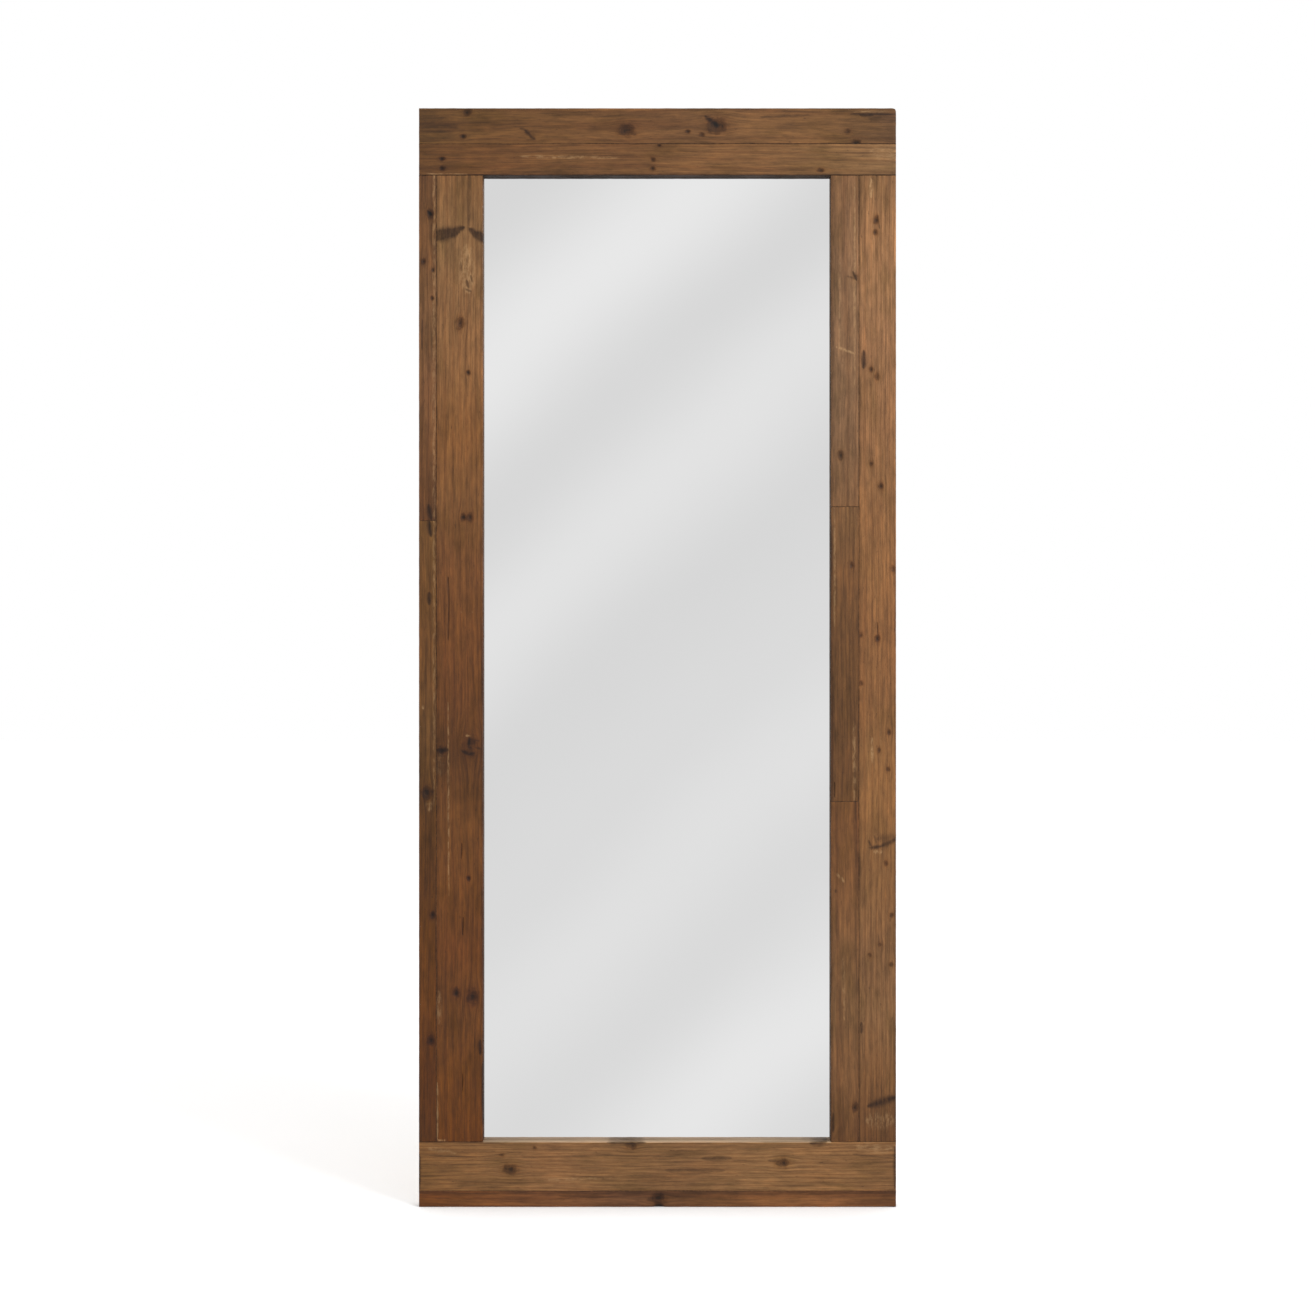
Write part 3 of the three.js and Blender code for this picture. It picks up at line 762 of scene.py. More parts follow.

# %% [markdown]
# ### The bottom rail
#
# Its wide upper board is tan. Seen from above through the opening, its upper side is still raw and
# pale, because the wax never reached it, and is painted paler still for the light from above. The
# strip below it comes from a redder board, with a painted shadow along its top under the seam.

# %% Bottom rail
dress_board(
    # raw: the upper side is unwaxed and painted paler, partly for the light from above.
    "bottom_rail_upper_board", seed=4.2, pith=(0.035, 0.05), ring=0.0052, raw=(105, 675),
    tones=[(124, 88, 56), (130, 94, 63), (138, 100, 69), (128, 94, 64), (130, 95, 66), (138, 102, 70),
           (136, 99, 67), (126, 91, 62)],
    knots=[(150, 35.8, 7), (136, 58.5, 2.6, 0.9), (189, 70.6, 2.6, 0.9), (349, 74, 6, 0.8),
           (596, 46, 6.6), (653, 76, 3, 0.6)],
    smears=[(308, 79, 372, 79, 2.2), (405, 34, 500, 34, 5, 0.5), (464, 53.5, 512, 53.5, 4, 0.6),
            (640, 78, 668, 80, 3.4, 0.9), (625, 84, 676, 84, 4, 0.6), (711, 60, 777, 53.5, 1.6, 0.5),
            (780, 72, 780, 4, 2.6), (1, 2, 1, 60, 2.6), (18, 58, 96, 55, 1.3, 0.6),
            (96, 55, 150, 62, 1.2, 0.5), (170, 55, 300, 58, 1.3, 0.6), (300, 58, 420, 56, 1.4, 0.5),
            (20, 41, 96, 44, 1.6, 0.4), (572, 50, 590, 48, 1.8, 0.6)],
    pales=[(715, 73, 777, 68, 7, 0.5), (15, 70, 60, 62, 4, 0.4), (200, 18, 330, 22, 2.5, 0.3)],
)
dress_board(
    "bottom_rail_lower_board", seed=5.5, pith=(-0.02, 0.04), ring=0.0034,
    tones=[(107, 66, 37), (124, 80, 49), (128, 85, 57), (110, 76, 55), (112, 76, 52), (135, 91, 59),
           (130, 87, 57), (112, 74, 49)],
    knots=[(393, 13.9, 7)],
    # The long stroke at across 23 is a painted shadow along the strip's top, under the seam.
    smears=[(387, 2.5, 400, 2.5, 3.2), (230, 18, 330, 16, 2, 0.4), (-200, 23, 1000, 23, 2.8, 0.5),
            (374, 12, 384, 14, 3, 0.6)],
    chips=[(393, 1, 3.5)],
)

# %% [markdown]
# ### The left stile
#
# The narrow outer strip is in two lengths, and the lower one is the darkest and reddest wood of
# the frame. The wide inner board carries a dark knot cluster a third of the way up, beside a long
# pale scratch, and a pale rough patch near the top with a V of old bark above it.

# %% Left stile
dress_board(
    "left_stile_outer_board_upper", seed=6.1, pith=(0.03, 0.07), ring=0.0040,
    tones=[(93, 62, 42), (112, 76, 50), (119, 83, 58), (118, 84, 59), (112, 78, 52), (101, 70, 48)],
    knots=[(503, 18.5, 4.9), (425, 7.9, 3.3), (410, 23.5, 2.5), (364, 21.8, 2.5)],
    smears=[(2, 20, 26, 16, 4), (280, 5, 330, 6, 1.8, 0.6), (508, 14, 500, 22, 2)],
    # The long pale stroke on the right edge is a painted highlight where the edge at the seam faces the
    # light.
    pales=[(-200, 24.8, 800, 24.8, 2.6, 0.4)],
)
dress_board(
    "left_stile_outer_board_lower", seed=7.7, pith=(-0.04, 0.05), ring=0.0037,
    tones=[(90, 56, 30), (92, 56, 29), (104, 64, 34), (95, 60, 33), (93, 60, 35), (90, 61, 36),
           (104, 73, 46), (109, 74, 45), (108, 74, 45), (111, 78, 48)],
    knots=[(572, 13.6, 7.5), (371, 22.6, 4.1), (165, 20.2, 5.4)],
    smears=[(880, 17, 900, 17, 4), (992, 20, 1016, 17, 4)],
    # The last pale stroke, on the right edge, is a painted highlight where the edge at the seam faces the
    # light.
    pales=[(542, 18, 560, 17, 5, 0.4), (708, 7, 715, 7, 1.6), (550, 25, 1300, 25, 2.2, 0.3)],
)
dress_board(
    "left_stile_inner_board", seed=8.4, pith=(0.015, 0.10), ring=0.0048,
    tones=[(105, 63, 33), (108, 67, 36), (103, 66, 39), (107, 66, 38), (110, 70, 40), (109, 71, 42),
           (91, 60, 38), (108, 69, 42), (110, 71, 43), (115, 76, 48), (121, 83, 53), (131, 89, 55),
           (136, 96, 64), (130, 94, 65), (131, 97, 67), (126, 90, 60)],
    knots=[(1341, 39, 6.1), (1260, 52, 2.9), (1023, 44, 4.7), (1023, 55.6, 4.7),
           (646, 55.6, 12, 0.66), (641, 8, 6.6, 0.8), (432, 53, 2.9), (243, 32.6, 5.2),
           (237, 58.8, 8.5)],
    smears=[(1482, -14, 1491, 36, 10, 1.5), (1490, 18, 1498, 46, 5, 1.2), (1496, 54, 1486, 66, 4.5, 1.2),
            (1488, 60, 1476, 90, 8, 1.5), (1590, 54, 1500, 54, 4, 0.5), (1412, 49, 1399, 53, 2.6, 0.9),
            (1397, 47, 1393, 57, 1.6, 0.8), (1420, 56, 1408, 59, 1.5, 0.7),
            (1441, 40, 1426, 42, 1.2, 0.6), (1452, 52, 1440, 50, 1.2, 0.5),
            (641, -2, 642, 19, 4.6), (630, 9, 600, 9, 7, 0.35), (632, 2, 631, 16, 1.2, 0.6),
            (622, 2, 620, 14, 1.4, 0.6), (612, 3, 611, 17, 1.2, 0.5), (604, 5, 603, 12, 1, 0.5),
            (641, 41, 634, 54, 3, 0.9),
            (634, 53, 638, 62, 2.6, 0.8), (663, 54, 645, 53, 2.4, 0.9), (646, 64, 643, 74, 1.8, 0.7),
            (658, 62, 656, 71, 1.4, 0.6), (166, 72, 143, 72, 4), (130, 76, 30, 76, 2.4),
            # These two strokes darken both long edges. On the left, at the seam, it is painted shade; on the
            # right, by the glass, the board is just darker.
            (-600, 0, 2200, 0, 5, 0.4), (-600, 77, 2200, 77, 4, 0.4)],
    pales=[(1467, 51, 1392, 51, 12, 0.6), (867, 41, 867, 41, 2), (867, 59, 867, 59, 2),
           (636, 6, 597, 7, 6, 0.15), (666, 47, 664, 58, 1.3, 0.7), (248, 3, 194, 3, 5, 0.4),
           (720, 19.5, 404, 20.3, 1.3, 0.6), (96, 1.6, 3, 1.6, 1.5), (2, 2, 2, 16, 1.6)],
    checks=[(925, 18.7, 821, 19.5), (489, 40.3, 464, 40.3), (368, 44, 338, 44), (112, 42, 79, 42)],
)

# %% [markdown]
# ### The right stile
#
# The inner strip is in three lengths, cut from one dark board. The outer board is the lightest
# and warmest in the frame. It is full of small pin knots, and has a large dark smear near its foot.

# %% Right stile
dress_board(
    "right_stile_inner_board_top", seed=9.2, pith=(-0.01, 0.08), ring=0.0039,
    tones=[(123, 89, 63), (123, 92, 69), (129, 97, 73), (130, 97, 73), (135, 98, 71)],
    knots=[(377, 40, 5, 0.6), (84, 16.4, 4.6)],
    # The first stroke darkens the left edge by the glass, with painted shade on the reveal there, which
    # faces away from the light.
    smears=[(900, 0, -400, 0, 6, 0.5), (330, 30, 250, 28, 2, 0.3), (385, 36, 371, 42, 2.6, 0.9),
            (378, 26, 373, 40, 2, 0.6)],
    pales=[(262, 8.5, 251, 38, 2), (420, 15, 260, 14, 2, 0.3), (540, 39, 200, 39, 1.8, 0.5)],
)
dress_board(
    "right_stile_inner_board_middle", seed=10.6, pith=(0.02, 0.06), ring=0.0042,
    tones=[(107, 74, 48), (102, 71, 47), (106, 74, 48), (110, 77, 51), (119, 86, 59)],
    knots=[(387, 34.2, 3.3)],
    # The first stroke darkens the left edge by the glass, with painted shade on the reveal there, which
    # faces away from the light.
    smears=[(-300, 0, 800, 0, 5, 0.5), (200, 30, 300, 32, 2, 0.3)],
    pales=[(480, 6, 285, 6, 1.7, 0.5), (130, 38.5, 0, 38.5, 3, 0.45)],
    checks=[(31, 4.4, 7, 4.4)],
)
dress_board(
    "right_stile_inner_board_bottom", seed=11.3, pith=(-0.03, 0.09), ring=0.0044,
    tones=[(106, 72, 47), (120, 85, 58), (117, 85, 59), (119, 84, 57), (119, 81, 53), (112, 76, 48)],
    knots=[(56, 39.6, 4.7)],
    # The second stroke darkens the left edge by the glass, with painted shade on the reveal there, which
    # faces away from the light.
    smears=[(47, 3.6, 16, 3.6, 2.4), (900, 0, -300, 0, 4, 0.4), (562, 40, 380, 43, 3, 0.5),
            (413, 8, 408, 8, 2, 0.8)],
    pales=[(440, 8.5, 425, 23, 2.4, 0.6), (300, 20, 200, 22, 2.4, 0.3)],
)
dress_board(
    "right_stile_outer_board", seed=12.8, pith=(0.01, 0.05), ring=0.0050,
    tones=[(102, 70, 46), (123, 87, 58), (129, 94, 66), (125, 90, 63), (126, 90, 60), (132, 93, 60),
           (134, 95, 62), (135, 94, 62), (128, 89, 59), (138, 97, 64), (136, 97, 66), (140, 100, 70),
           (141, 102, 73), (148, 108, 78), (150, 109, 77), (132, 96, 67)],
    knots=[(1511, 28, 4.3), (1490, 26, 3.6), (1265, 19.9, 3.3, 0.9), (1254, 29.7, 3.8, 0.9),
           (1111, 19.5, 3.0, 0.85), (1074, 35.9, 3.8, 0.9), (939, 55.9, 3.6, 0.9), (825, 30.5, 4.3),
           (830, 3.1, 3.2, 0.85), (751, 3.5, 3.0, 0.85), (671, 49.3, 3.6, 0.9), (641, 33, 3.0, 0.85),
           (610, 47.7, 3.3, 0.85), (456, 44.4, 3.2, 0.85), (371, 53.8, 3.6, 0.95),
           (323, 34.6, 3.3, 0.85), (305, 17.7, 3.0, 0.8), (291, 52.3, 3.3, 0.8)],
    smears=[(1296, 7.6, 1267, 7.6, 4.5), (481, 17, 484, 37, 3), (484, 36, 497, 63, 4.5, 0.9),
            (496, 30, 499, 62, 7, 0.5), (482, 21, 494, 15, 1.8, 0.7), (489, 28, 502, 25, 1.6, 0.6),
            (1505, 32, 1495, 34, 1.4, 0.7), (58, 15, 73, 60, 7), (196, 3.5, 178, 3.5, 3.2),
            # The first stroke here is painted shade along the left edge, at the seam, which faces away from
            # the light.
            (1900, 0, -300, 0, 3, 0.4), (323, 33, 340, 31, 1.6, 0.4), (371, 52, 360, 50, 1.8, 0.5),
            (-300, 62, 700, 62, 3.4, 0.4)],
    pales=[(1578, 19.4, 1547, 19.4, 2.6), (662, 21.5, 620, 21.5, 2), (475, 24, 475, 38, 2.8, 0.8),
           (35, 12, 35, 57, 12, 0.4)],
    checks=[(851, 30.5, 831, 30.5)],
)

# %% [markdown]
# ### What fills the joints
#
# The boards stand a hair apart, and years of wax and dust have filled the joints to just below the
# surface. Without that the joints would be black slits. Every pair of boards is tried: where two
# boxes lie closer than a millimetre, a strip is laid between them.

# %% Joints
WAX_BELOW = 0.6 * MM  # under the boards' faces
WAX_DEPTH = 6 * MM
NEAREST = 1.0 * MM

boards = [name for name in frame["nodes"] if "_board" in name]
strips = []
for i, first in enumerate(boards):
    for second in boards[i + 1:]:
        lows, highs = np.array([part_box(first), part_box(second)]).swapaxes(0, 1)
        low, high = lows.max(axis=0), highs.min(axis=0)
        gap = low - high
        between = (gap > 0) & (gap < NEAREST)
        if between.sum() == 1 and (gap < NEAREST).all() and gap[Y] < 0:
            low, high = np.minimum(low, high), np.maximum(low, high)
            low[Y], high[Y] = cad_low[Y] + WAX_BELOW, cad_low[Y] + WAX_BELOW + WAX_DEPTH
            strips.append(block("joint_wax", low, high))
work_on(strips[0])
for strip in strips:
    strip.select_set(True)
bpy.ops.object.join()
wax = bpy.context.object
wax_finish, tree, shader = finish("old_wax", Roughness=0.85)
crumbs = node(tree, "TexNoise", {"Vector": object_place(tree), "Scale": 190.0, "Detail": 4.0}).outputs[0]
tree.links.new(ramp(tree, crumbs, [(0.35, paint(44, 30, 19)), (0.5, paint(80, 55, 35)),
                                   (0.7, paint(118, 84, 54))]), shader.inputs["Base Color"])
wax.data.materials.append(wax_finish)
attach(wax, "frame")

# %% [markdown]
# ## The glass
#
# The mirror is float glass with silver behind it. To the eye it is one bright surface, so the front
# of the pane is made metal, with a trace of unevenness. Its cut rim is greenish, and its back has
# the grey paint that protects the silver. The sheet's arrises are ground off, as on any pane that
# is handled.


# %% Mirror
GROUND_ARRIS = 0.7 * MM

silver, tree, shader = finish("silvered_glass", Metallic=1.0, Roughness=0.012)
haze = node(tree, "TexNoise", {"Vector": object_place(tree), "Scale": 2.5, "Detail": 4.0}).outputs[0]
tree.links.new(ramp(tree, haze, [(0.3, 0.842), (0.7, 0.852)]), shader.inputs["Base Color"])

rim, tree, shader = finish("cut_glass_rim", Roughness=0.25)
scratch = node(tree, "TexNoise", {"Vector": object_place(tree), "Scale": 900.0}).outputs[0]
tree.links.new(ramp(tree, scratch, [(0.3, paint(108, 142, 128)), (0.7, paint(150, 178, 166))]),
               shader.inputs["Base Color"])

backing, tree, shader = finish("mirror_backing", Roughness=0.6)
stipple = node(tree, "TexNoise", {"Vector": object_place(tree), "Scale": 300.0, "Detail": 3.0}).outputs[0]
tree.links.new(ramp(tree, stipple, [(0.3, paint(92, 96, 100)), (0.7, paint(112, 115, 118))]),
               shader.inputs["Base Color"])

glass = block("silvered_pane", *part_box("mirror_glass"))
edit_edges(glass, np.ones(len(glass.data.edges), bool))
bpy.ops.mesh.bevel(offset=GROUND_ARRIS, segments=1, affect="EDGES")
leave_edit()
hand_over(glass, silver, "mirror_glass")
glass.data.materials.append(rim)
glass.data.materials.append(backing)
for face in glass.data.polygons:
    face.material_index = 0 if face.normal.y < -0.9 else 2 if face.normal.y > 0.9 else 1
print("The pane has", len(glass.data.polygons), "faces")

# %% [markdown]
# ## The back
#
# Behind the boards lie four battens of new, unfinished pine, which hold the pane in a pocket with a
# sheet of foam and a plywood panel. Their holes are already in the CAD model, so these pieces
# start as copies of their CAD nodes. A copy is merged, its flat faces are joined up again, and its
# long arrises are rounded as a planer and a sanding block leave them.

# %% Copies with rounded arrises
PLANED_ARRIS = 0.8 * MM
LONG_EDGE = 60 * MM
MERGE = 0.01 * MM  # vertices closer than this are one


def rounded_copy(cad_node, name, radius=PLANED_ARRIS):
    """A copy of a CAD node, merged, with its long edges bevelled."""
    work_on(frame["nodes"][cad_node])
    bpy.ops.object.duplicate()
    piece = bpy.context.object
    piece.name = piece.data.name = name
    bpy.ops.object.parent_clear(type="CLEAR_KEEP_TRANSFORM")
    bpy.ops.object.transform_apply(location=True, rotation=True, scale=True)
    edit_faces(piece, np.ones(len(piece.data.polygons), bool))
    bpy.ops.mesh.remove_doubles(threshold=MERGE)
    bpy.ops.mesh.dissolve_limited(angle_limit=math.radians(1))
    leave_edit()
    ends = edge_ends(piece)
    run = np.abs(ends[:, 1] - ends[:, 0])
    straight = run.max(axis=1) > 0.999 * np.linalg.norm(run, axis=1)
    low, high = points(piece).min(axis=0), points(piece).max(axis=0)
    middle = ends.mean(axis=1)
    on_side = np.minimum(np.abs(middle - low), np.abs(middle - high)) < MERGE
    edit_edges(piece, straight & (run.max(axis=1) > LONG_EDGE) & (on_side.sum(axis=1) >= 2))
    bpy.ops.mesh.bevel(offset=radius, segments=2, affect="EDGES")
    bpy.ops.mesh.select_all(action="SELECT")
    bpy.ops.mesh.normals_make_consistent(inside=False)
    leave_edit()
    work_on(piece)
    bpy.ops.object.shade_smooth_by_angle(angle=math.radians(25))
    print(name, "has", len(piece.data.polygons), "faces")
    return piece


# %% [markdown]
# The battens' pine has the same grain as the boards, but pale and dry: no wax, no dirt, a few small
# knots, and the faint cross marks of a planer's knives.


# %% Battens
def new_pine(name, upright, seed):
    """Dry planed pine with its grain along the piece."""
    material, tree, shader = finish(name, Roughness=0.8)
    turn = (0, 0, 0) if upright else (0, math.pi / 2, 0)
    flow = object_place(tree, Rotation=turn, Location=(seed, 0, 0))
    tone, height, streaks = grain_tone(tree, flow, (0.03, 0.06), 0.0045, seed)
    colour = mix(tree, "MULTIPLY", 0.6, (*paint(205, 172, 130), 1), tone)
    shake = node(tree, "TexNoise", {"Vector": flow, "Scale": 60.0, "Detail": 3.0}).outputs[0]
    spots = node(tree, "TexVoronoi", {"Vector": stretched(tree, flow, 0.55, seed), "Scale": 6.0})
    away = maths(tree, "ADD", spots.outputs["Distance"], maths(tree, "MULTIPLY", shake, 0.03))
    knot = ramp(tree, away, [(0.0, (0.3, 0.2, 0.13)), (0.018, (0.42, 0.28, 0.18)),
                             (0.024, (0.6, 0.44, 0.32)), (0.03, (0.4, 0.27, 0.18)),
                             (0.038, (0.62, 0.47, 0.35)), (0.044, (0.28, 0.18, 0.12)),
                             (0.05, (0.85, 0.74, 0.62)), (0.085, (1, 1, 1))])
    colour = mix(tree, "MULTIPLY", 1.0, colour, knot)
    soil = node(tree, "TexNoise", {"Vector": flow, "Scale": 12.0, "Detail": 4.0}).outputs[0]
    colour = mix(tree, "MULTIPLY", 1.0, colour,
                 ramp(tree, soil, [(0.3, (0.9, 0.88, 0.85)), (0.6, (1, 1, 1))]))
    tree.links.new(colour, shader.inputs["Base Color"])
    knives = node(tree, "TexWave", {"Vector": flow, "Scale": 95.0, "Distortion": 1.5},
                  wave_type="BANDS", bands_direction="Z").outputs["Fac"]
    relief = maths(tree, "ADD", height, maths(tree, "MULTIPLY", knives, 0.25))
    bump = node(tree, "Bump", {"Height": relief, "Strength": 0.35, "Distance": 0.4 * MM})
    tree.links.new(bump.outputs[0], shader.inputs["Normal"])
    return material


for number, side in enumerate(("left", "right", "top", "bottom")):
    cad_node = "back_batten_" + side
    batten = rounded_copy(cad_node, "pine_batten_" + side)
    hand_over(batten, new_pine("new_pine_" + side, side in ("left", "right"), 3.7 * number), cad_node)

# %% [markdown]
# The panel is thin plywood. Its face veneer was peeled from a turning log, so its grain is wide and
# wandering, and its rim shows the plies, light and dark in turn. The foam liner behind the glass is
# a sheet of fine grey cells.

# %% Panel and foam
PLY = 1.2 * MM

plywood, tree, shader = finish("plywood", Roughness=0.7)
flow = object_place(tree)
wide = object_place(tree, Location=(0.1, 0.35, 0), Scale=(1, 1, 0.16))
peel = node(tree, "TexWave", {"Vector": wide, "Scale": 9.0, "Distortion": 9.0, "Detail": 3.0,
                              "Detail Scale": 0.8}, wave_type="RINGS", rings_direction="Z",
            wave_profile="SAW").outputs["Fac"]
fibres = node(tree, "TexNoise", {"Vector": stretched(tree, flow, 0.03, 5), "Scale": 700.0,
                                 "Detail": 3.0}).outputs[0]
blush = node(tree, "TexNoise", {"Vector": stretched(tree, flow, 0.4, 6), "Scale": 5.0,
                                "Detail": 4.0}).outputs[0]
colour = mix(tree, "MULTIPLY", 1.0, (*paint(198, 160, 116), 1),
             ramp(tree, peel, [(0, (1.04, 1.04, 1.03)), (0.7, (0.97, 0.95, 0.92)),
                               (0.95, (0.8, 0.72, 0.64)), (1.0, (0.95, 0.93, 0.9))]))
colour = mix(tree, "MULTIPLY", 1.0, colour, ramp(tree, fibres, [(0.3, 0.86), (0.7, 1.08)]))
colour = mix(tree, "MULTIPLY", 1.0, colour,
             ramp(tree, blush, [(0.3, (0.9, 0.86, 0.8)), (0.7, (1.04, 1.04, 1.04))]))
depth = node(tree, "SeparateXYZ", {0: flow}).outputs[Y]
turn = maths(tree, "MODULO", maths(tree, "DIVIDE", depth, 2 * PLY), 1.0)
plies = ramp(tree, turn, [(0.46, (1, 1, 1)), (0.5, (0.55, 0.45, 0.36))])
facing = node(tree, "SeparateXYZ", {0: node(tree, "TexCoord").outputs["Normal"]}).outputs[Y]
on_rim = maths(tree, "LESS_THAN", maths(tree, "ABSOLUTE", facing), 0.5)
colour = mix(tree, "MULTIPLY", on_rim, colour, plies)
tree.links.new(colour, shader.inputs["Base Color"])
bump = node(tree, "Bump", {"Height": fibres, "Strength": 0.3, "Distance": 0.3 * MM})
tree.links.new(bump.outputs[0], shader.inputs["Normal"])
panel = rounded_copy("back_panel", "plywood_panel", 0.4 * MM)
hand_over(panel, plywood, "back_panel")

foam, tree, shader = finish("grey_foam", Roughness=0.95)
cells = node(tree, "TexVoronoi", {"Vector": object_place(tree), "Scale": 900.0}).outputs["Distance"]
tree.links.new(ramp(tree, cells, [(0.0, paint(150, 152, 152)), (0.5, paint(196, 198, 196))]),
               shader.inputs["Base Color"])
bump = node(tree, "Bump", {"Height": cells, "Strength": 0.5, "Distance": 0.3 * MM})
tree.links.new(bump.outputs[0], shader.inputs["Normal"])
liner = rounded_copy("foam_liner", "foam_sheet", 0.5 * MM)
hand_over(liner, foam, "foam_liner")

# %% [markdown]
# ## Screws
#
# All thirty screws have a cross recess, so one is modelled for each kind and the rest are copies. A
# screw lies along Y with the top of its head at the origin. It is drawn as a disc, and then
# extruded and scaled step by step along its profile. The recess is cut by two crossed wedges, and
# the thread is one turn of a ridge that a Screw modifier repeats along the shank.

# %% Plated steel
steel, tree, shader = finish("plated_steel", Metallic=1.0)
cloud = node(tree, "TexNoise", {"Vector": object_place(tree), "Scale": 160.0, "Detail": 4.0}).outputs[0]
tree.links.new(ramp(tree, cloud, [(0.3, paint(168, 170, 172)), (0.55, paint(190, 190, 186)),
                                  (0.75, paint(176, 180, 190))]), shader.inputs["Base Color"])
tree.links.new(ramp(tree, cloud, [(0.3, 0.26), (0.7, 0.42)]), shader.inputs["Roughness"])
lines = object_place(tree, Scale=(1, 1, 0.08))
drawn = node(tree, "TexNoise", {"Vector": lines, "Scale": 2400.0}).outputs[0]
bump = node(tree, "Bump", {"Height": drawn, "Strength": 0.15, "Distance": 0.05 * MM})
tree.links.new(bump.outputs[0], shader.inputs["Normal"])
screw_steel = steel.copy()
screw_steel.name = "screw_steel"

# %% Screw shapes
HEAD_SIDES = 32
COLLAR = 3 * MM  # plain shank between the neck and the thread
RUN_OUT = 0.4 * MM
TIP = 4 * MM
THREAD_DEPTH = 0.45 * MM
THREAD_SINK = 0.1 * MM  # the thread's foot lies this far inside the shank
PITCH = 1.4 * MM
RECESS_TAPER = (0.35, 1, 0.6)
RECESS_DEPTH, RECESS_LENGTH, RECESS_WIDTH = 0.55, 0.48, 0.12  # as shares of the head's radius


def turned(name, profile):
    """A solid turned about Y. The profile runs from its top: distances below it, and radii."""
    bpy.ops.object.select_all(action="DESELECT")
    (top, first), *rest = profile
    bpy.ops.mesh.primitive_circle_add(vertices=HEAD_SIDES, radius=first, fill_type="NGON",
                                      rotation=(-math.pi / 2, 0, 0))
    piece = bpy.context.object
    piece.name = piece.data.name = name
    bpy.ops.object.transform_apply(location=True, rotation=True, scale=True)
    bpy.ops.object.mode_set(mode="EDIT")
    bpy.ops.mesh.select_all(action="SELECT")
    bpy.ops.transform.translate(value=(0, -top, 0))
    before, radius = top, first
    for below, wide in rest:
        bpy.ops.mesh.extrude_region_move(TRANSFORM_OT_translate={"value": (0, before - below, 0)})
        bpy.ops.transform.resize(value=(wide / radius,) * 3, center_override=(0, -below, 0))
        before, radius = below, wide
    bpy.ops.mesh.select_all(action="SELECT")
    bpy.ops.mesh.normals_make_consistent(inside=False)
    leave_edit()
    return piece


def carve(piece, *cutters):
    """Cuts other solids out of a piece and throws them away."""
    for cutter in cutters:
        apply_modifier(piece, "BOOLEAN", operation="DIFFERENCE", object=cutter, solver="EXACT")
        bpy.data.objects.remove(cutter)


def wedge(name, half_length, half_width, depth, turn):
    """A bar that narrows downwards, standing a little above the origin, turned about Y."""
    bar = block(name, (-half_length, -depth, -half_width), (half_length, 0.2 * MM, half_width))
    low = np.array([face.normal.y < -0.5 for face in bar.data.polygons])
    edit_faces(bar, low)
    bpy.ops.transform.resize(value=RECESS_TAPER, center_override=(0, -depth, 0))
    leave_edit()
    bar.rotation_euler = (0, turn, 0)
    work_on(bar)
    bpy.ops.object.transform_apply(rotation=True)
    return bar


def thread(name, core, root, start, end, pitch):
    """A helical ridge about Y between two depths."""
    half = pitch / 2
    bpy.ops.object.select_all(action="DESELECT")
    bpy.ops.mesh.primitive_plane_add(size=1)
    ridge = bpy.context.object
    ridge.name = ridge.data.name = name
    edit_faces(ridge, np.ones(1, bool))
    bpy.ops.mesh.delete(type="ONLY_FACE")
    leave_edit()
    corners = [(root, 0), (core, -0.4 * half), (core, -0.6 * half), (root, -half)]
    for vertex, (wide, below) in zip(ridge.data.vertices, corners):
        vertex.co = (wide, below - start, 0)
    work_on(ridge)
    turns = int((end - start) / pitch) - 1
    apply_modifier(ridge, "SCREW", axis="Y", screw_offset=-pitch, iterations=turns, steps=14,
                   render_steps=14, angle=2 * math.pi)
    return ridge


def screw(name, radius, core, length, head):
    """A whole screw. `head` lists depths and radii from the head's top to its neck."""
    neck = head[-1][0]
    root = core - THREAD_DEPTH
    shank = [(neck + COLLAR, core), (neck + COLLAR + RUN_OUT, root), (length - TIP, root),
             (length, 0.15 * MM)]
    piece = turned(name, head + shank)
    carve(piece, *[wedge("wedge", RECESS_LENGTH * radius, RECESS_WIDTH * radius, RECESS_DEPTH * radius, turn)
                   for turn in (0, math.pi / 2)])
    ridge = thread("thread", core, root - THREAD_SINK, neck + COLLAR + RUN_OUT / 2,
                   length - TIP + 1 * MM, PITCH)
    work_on(piece)
    ridge.select_set(True)
    bpy.ops.object.join()
    bpy.ops.object.shade_smooth_by_angle(angle=math.radians(28))
    print(name, "has", len(piece.data.polygons), "faces")
    return piece


# %% Put the screws in
def sunk_head(radius, core):
    """A countersunk head: a short rim and then a cone."""
    return [(0, radius - 0.15 * MM), (0.12 * MM, radius), (0.35 * MM, radius), (radius - core, core)]


def round_head(radius, core, height):
    """A low dome, as rings on an arc, and its flat underside."""
    arc = [(height * 0.9 * (1 - math.cos(a)), radius * (0.55 + 0.45 * math.sin(a)))
           for a in np.linspace(0, math.pi / 2, 6)]
    return arc + [(height, radius), (height + 0.02 * MM, core)]


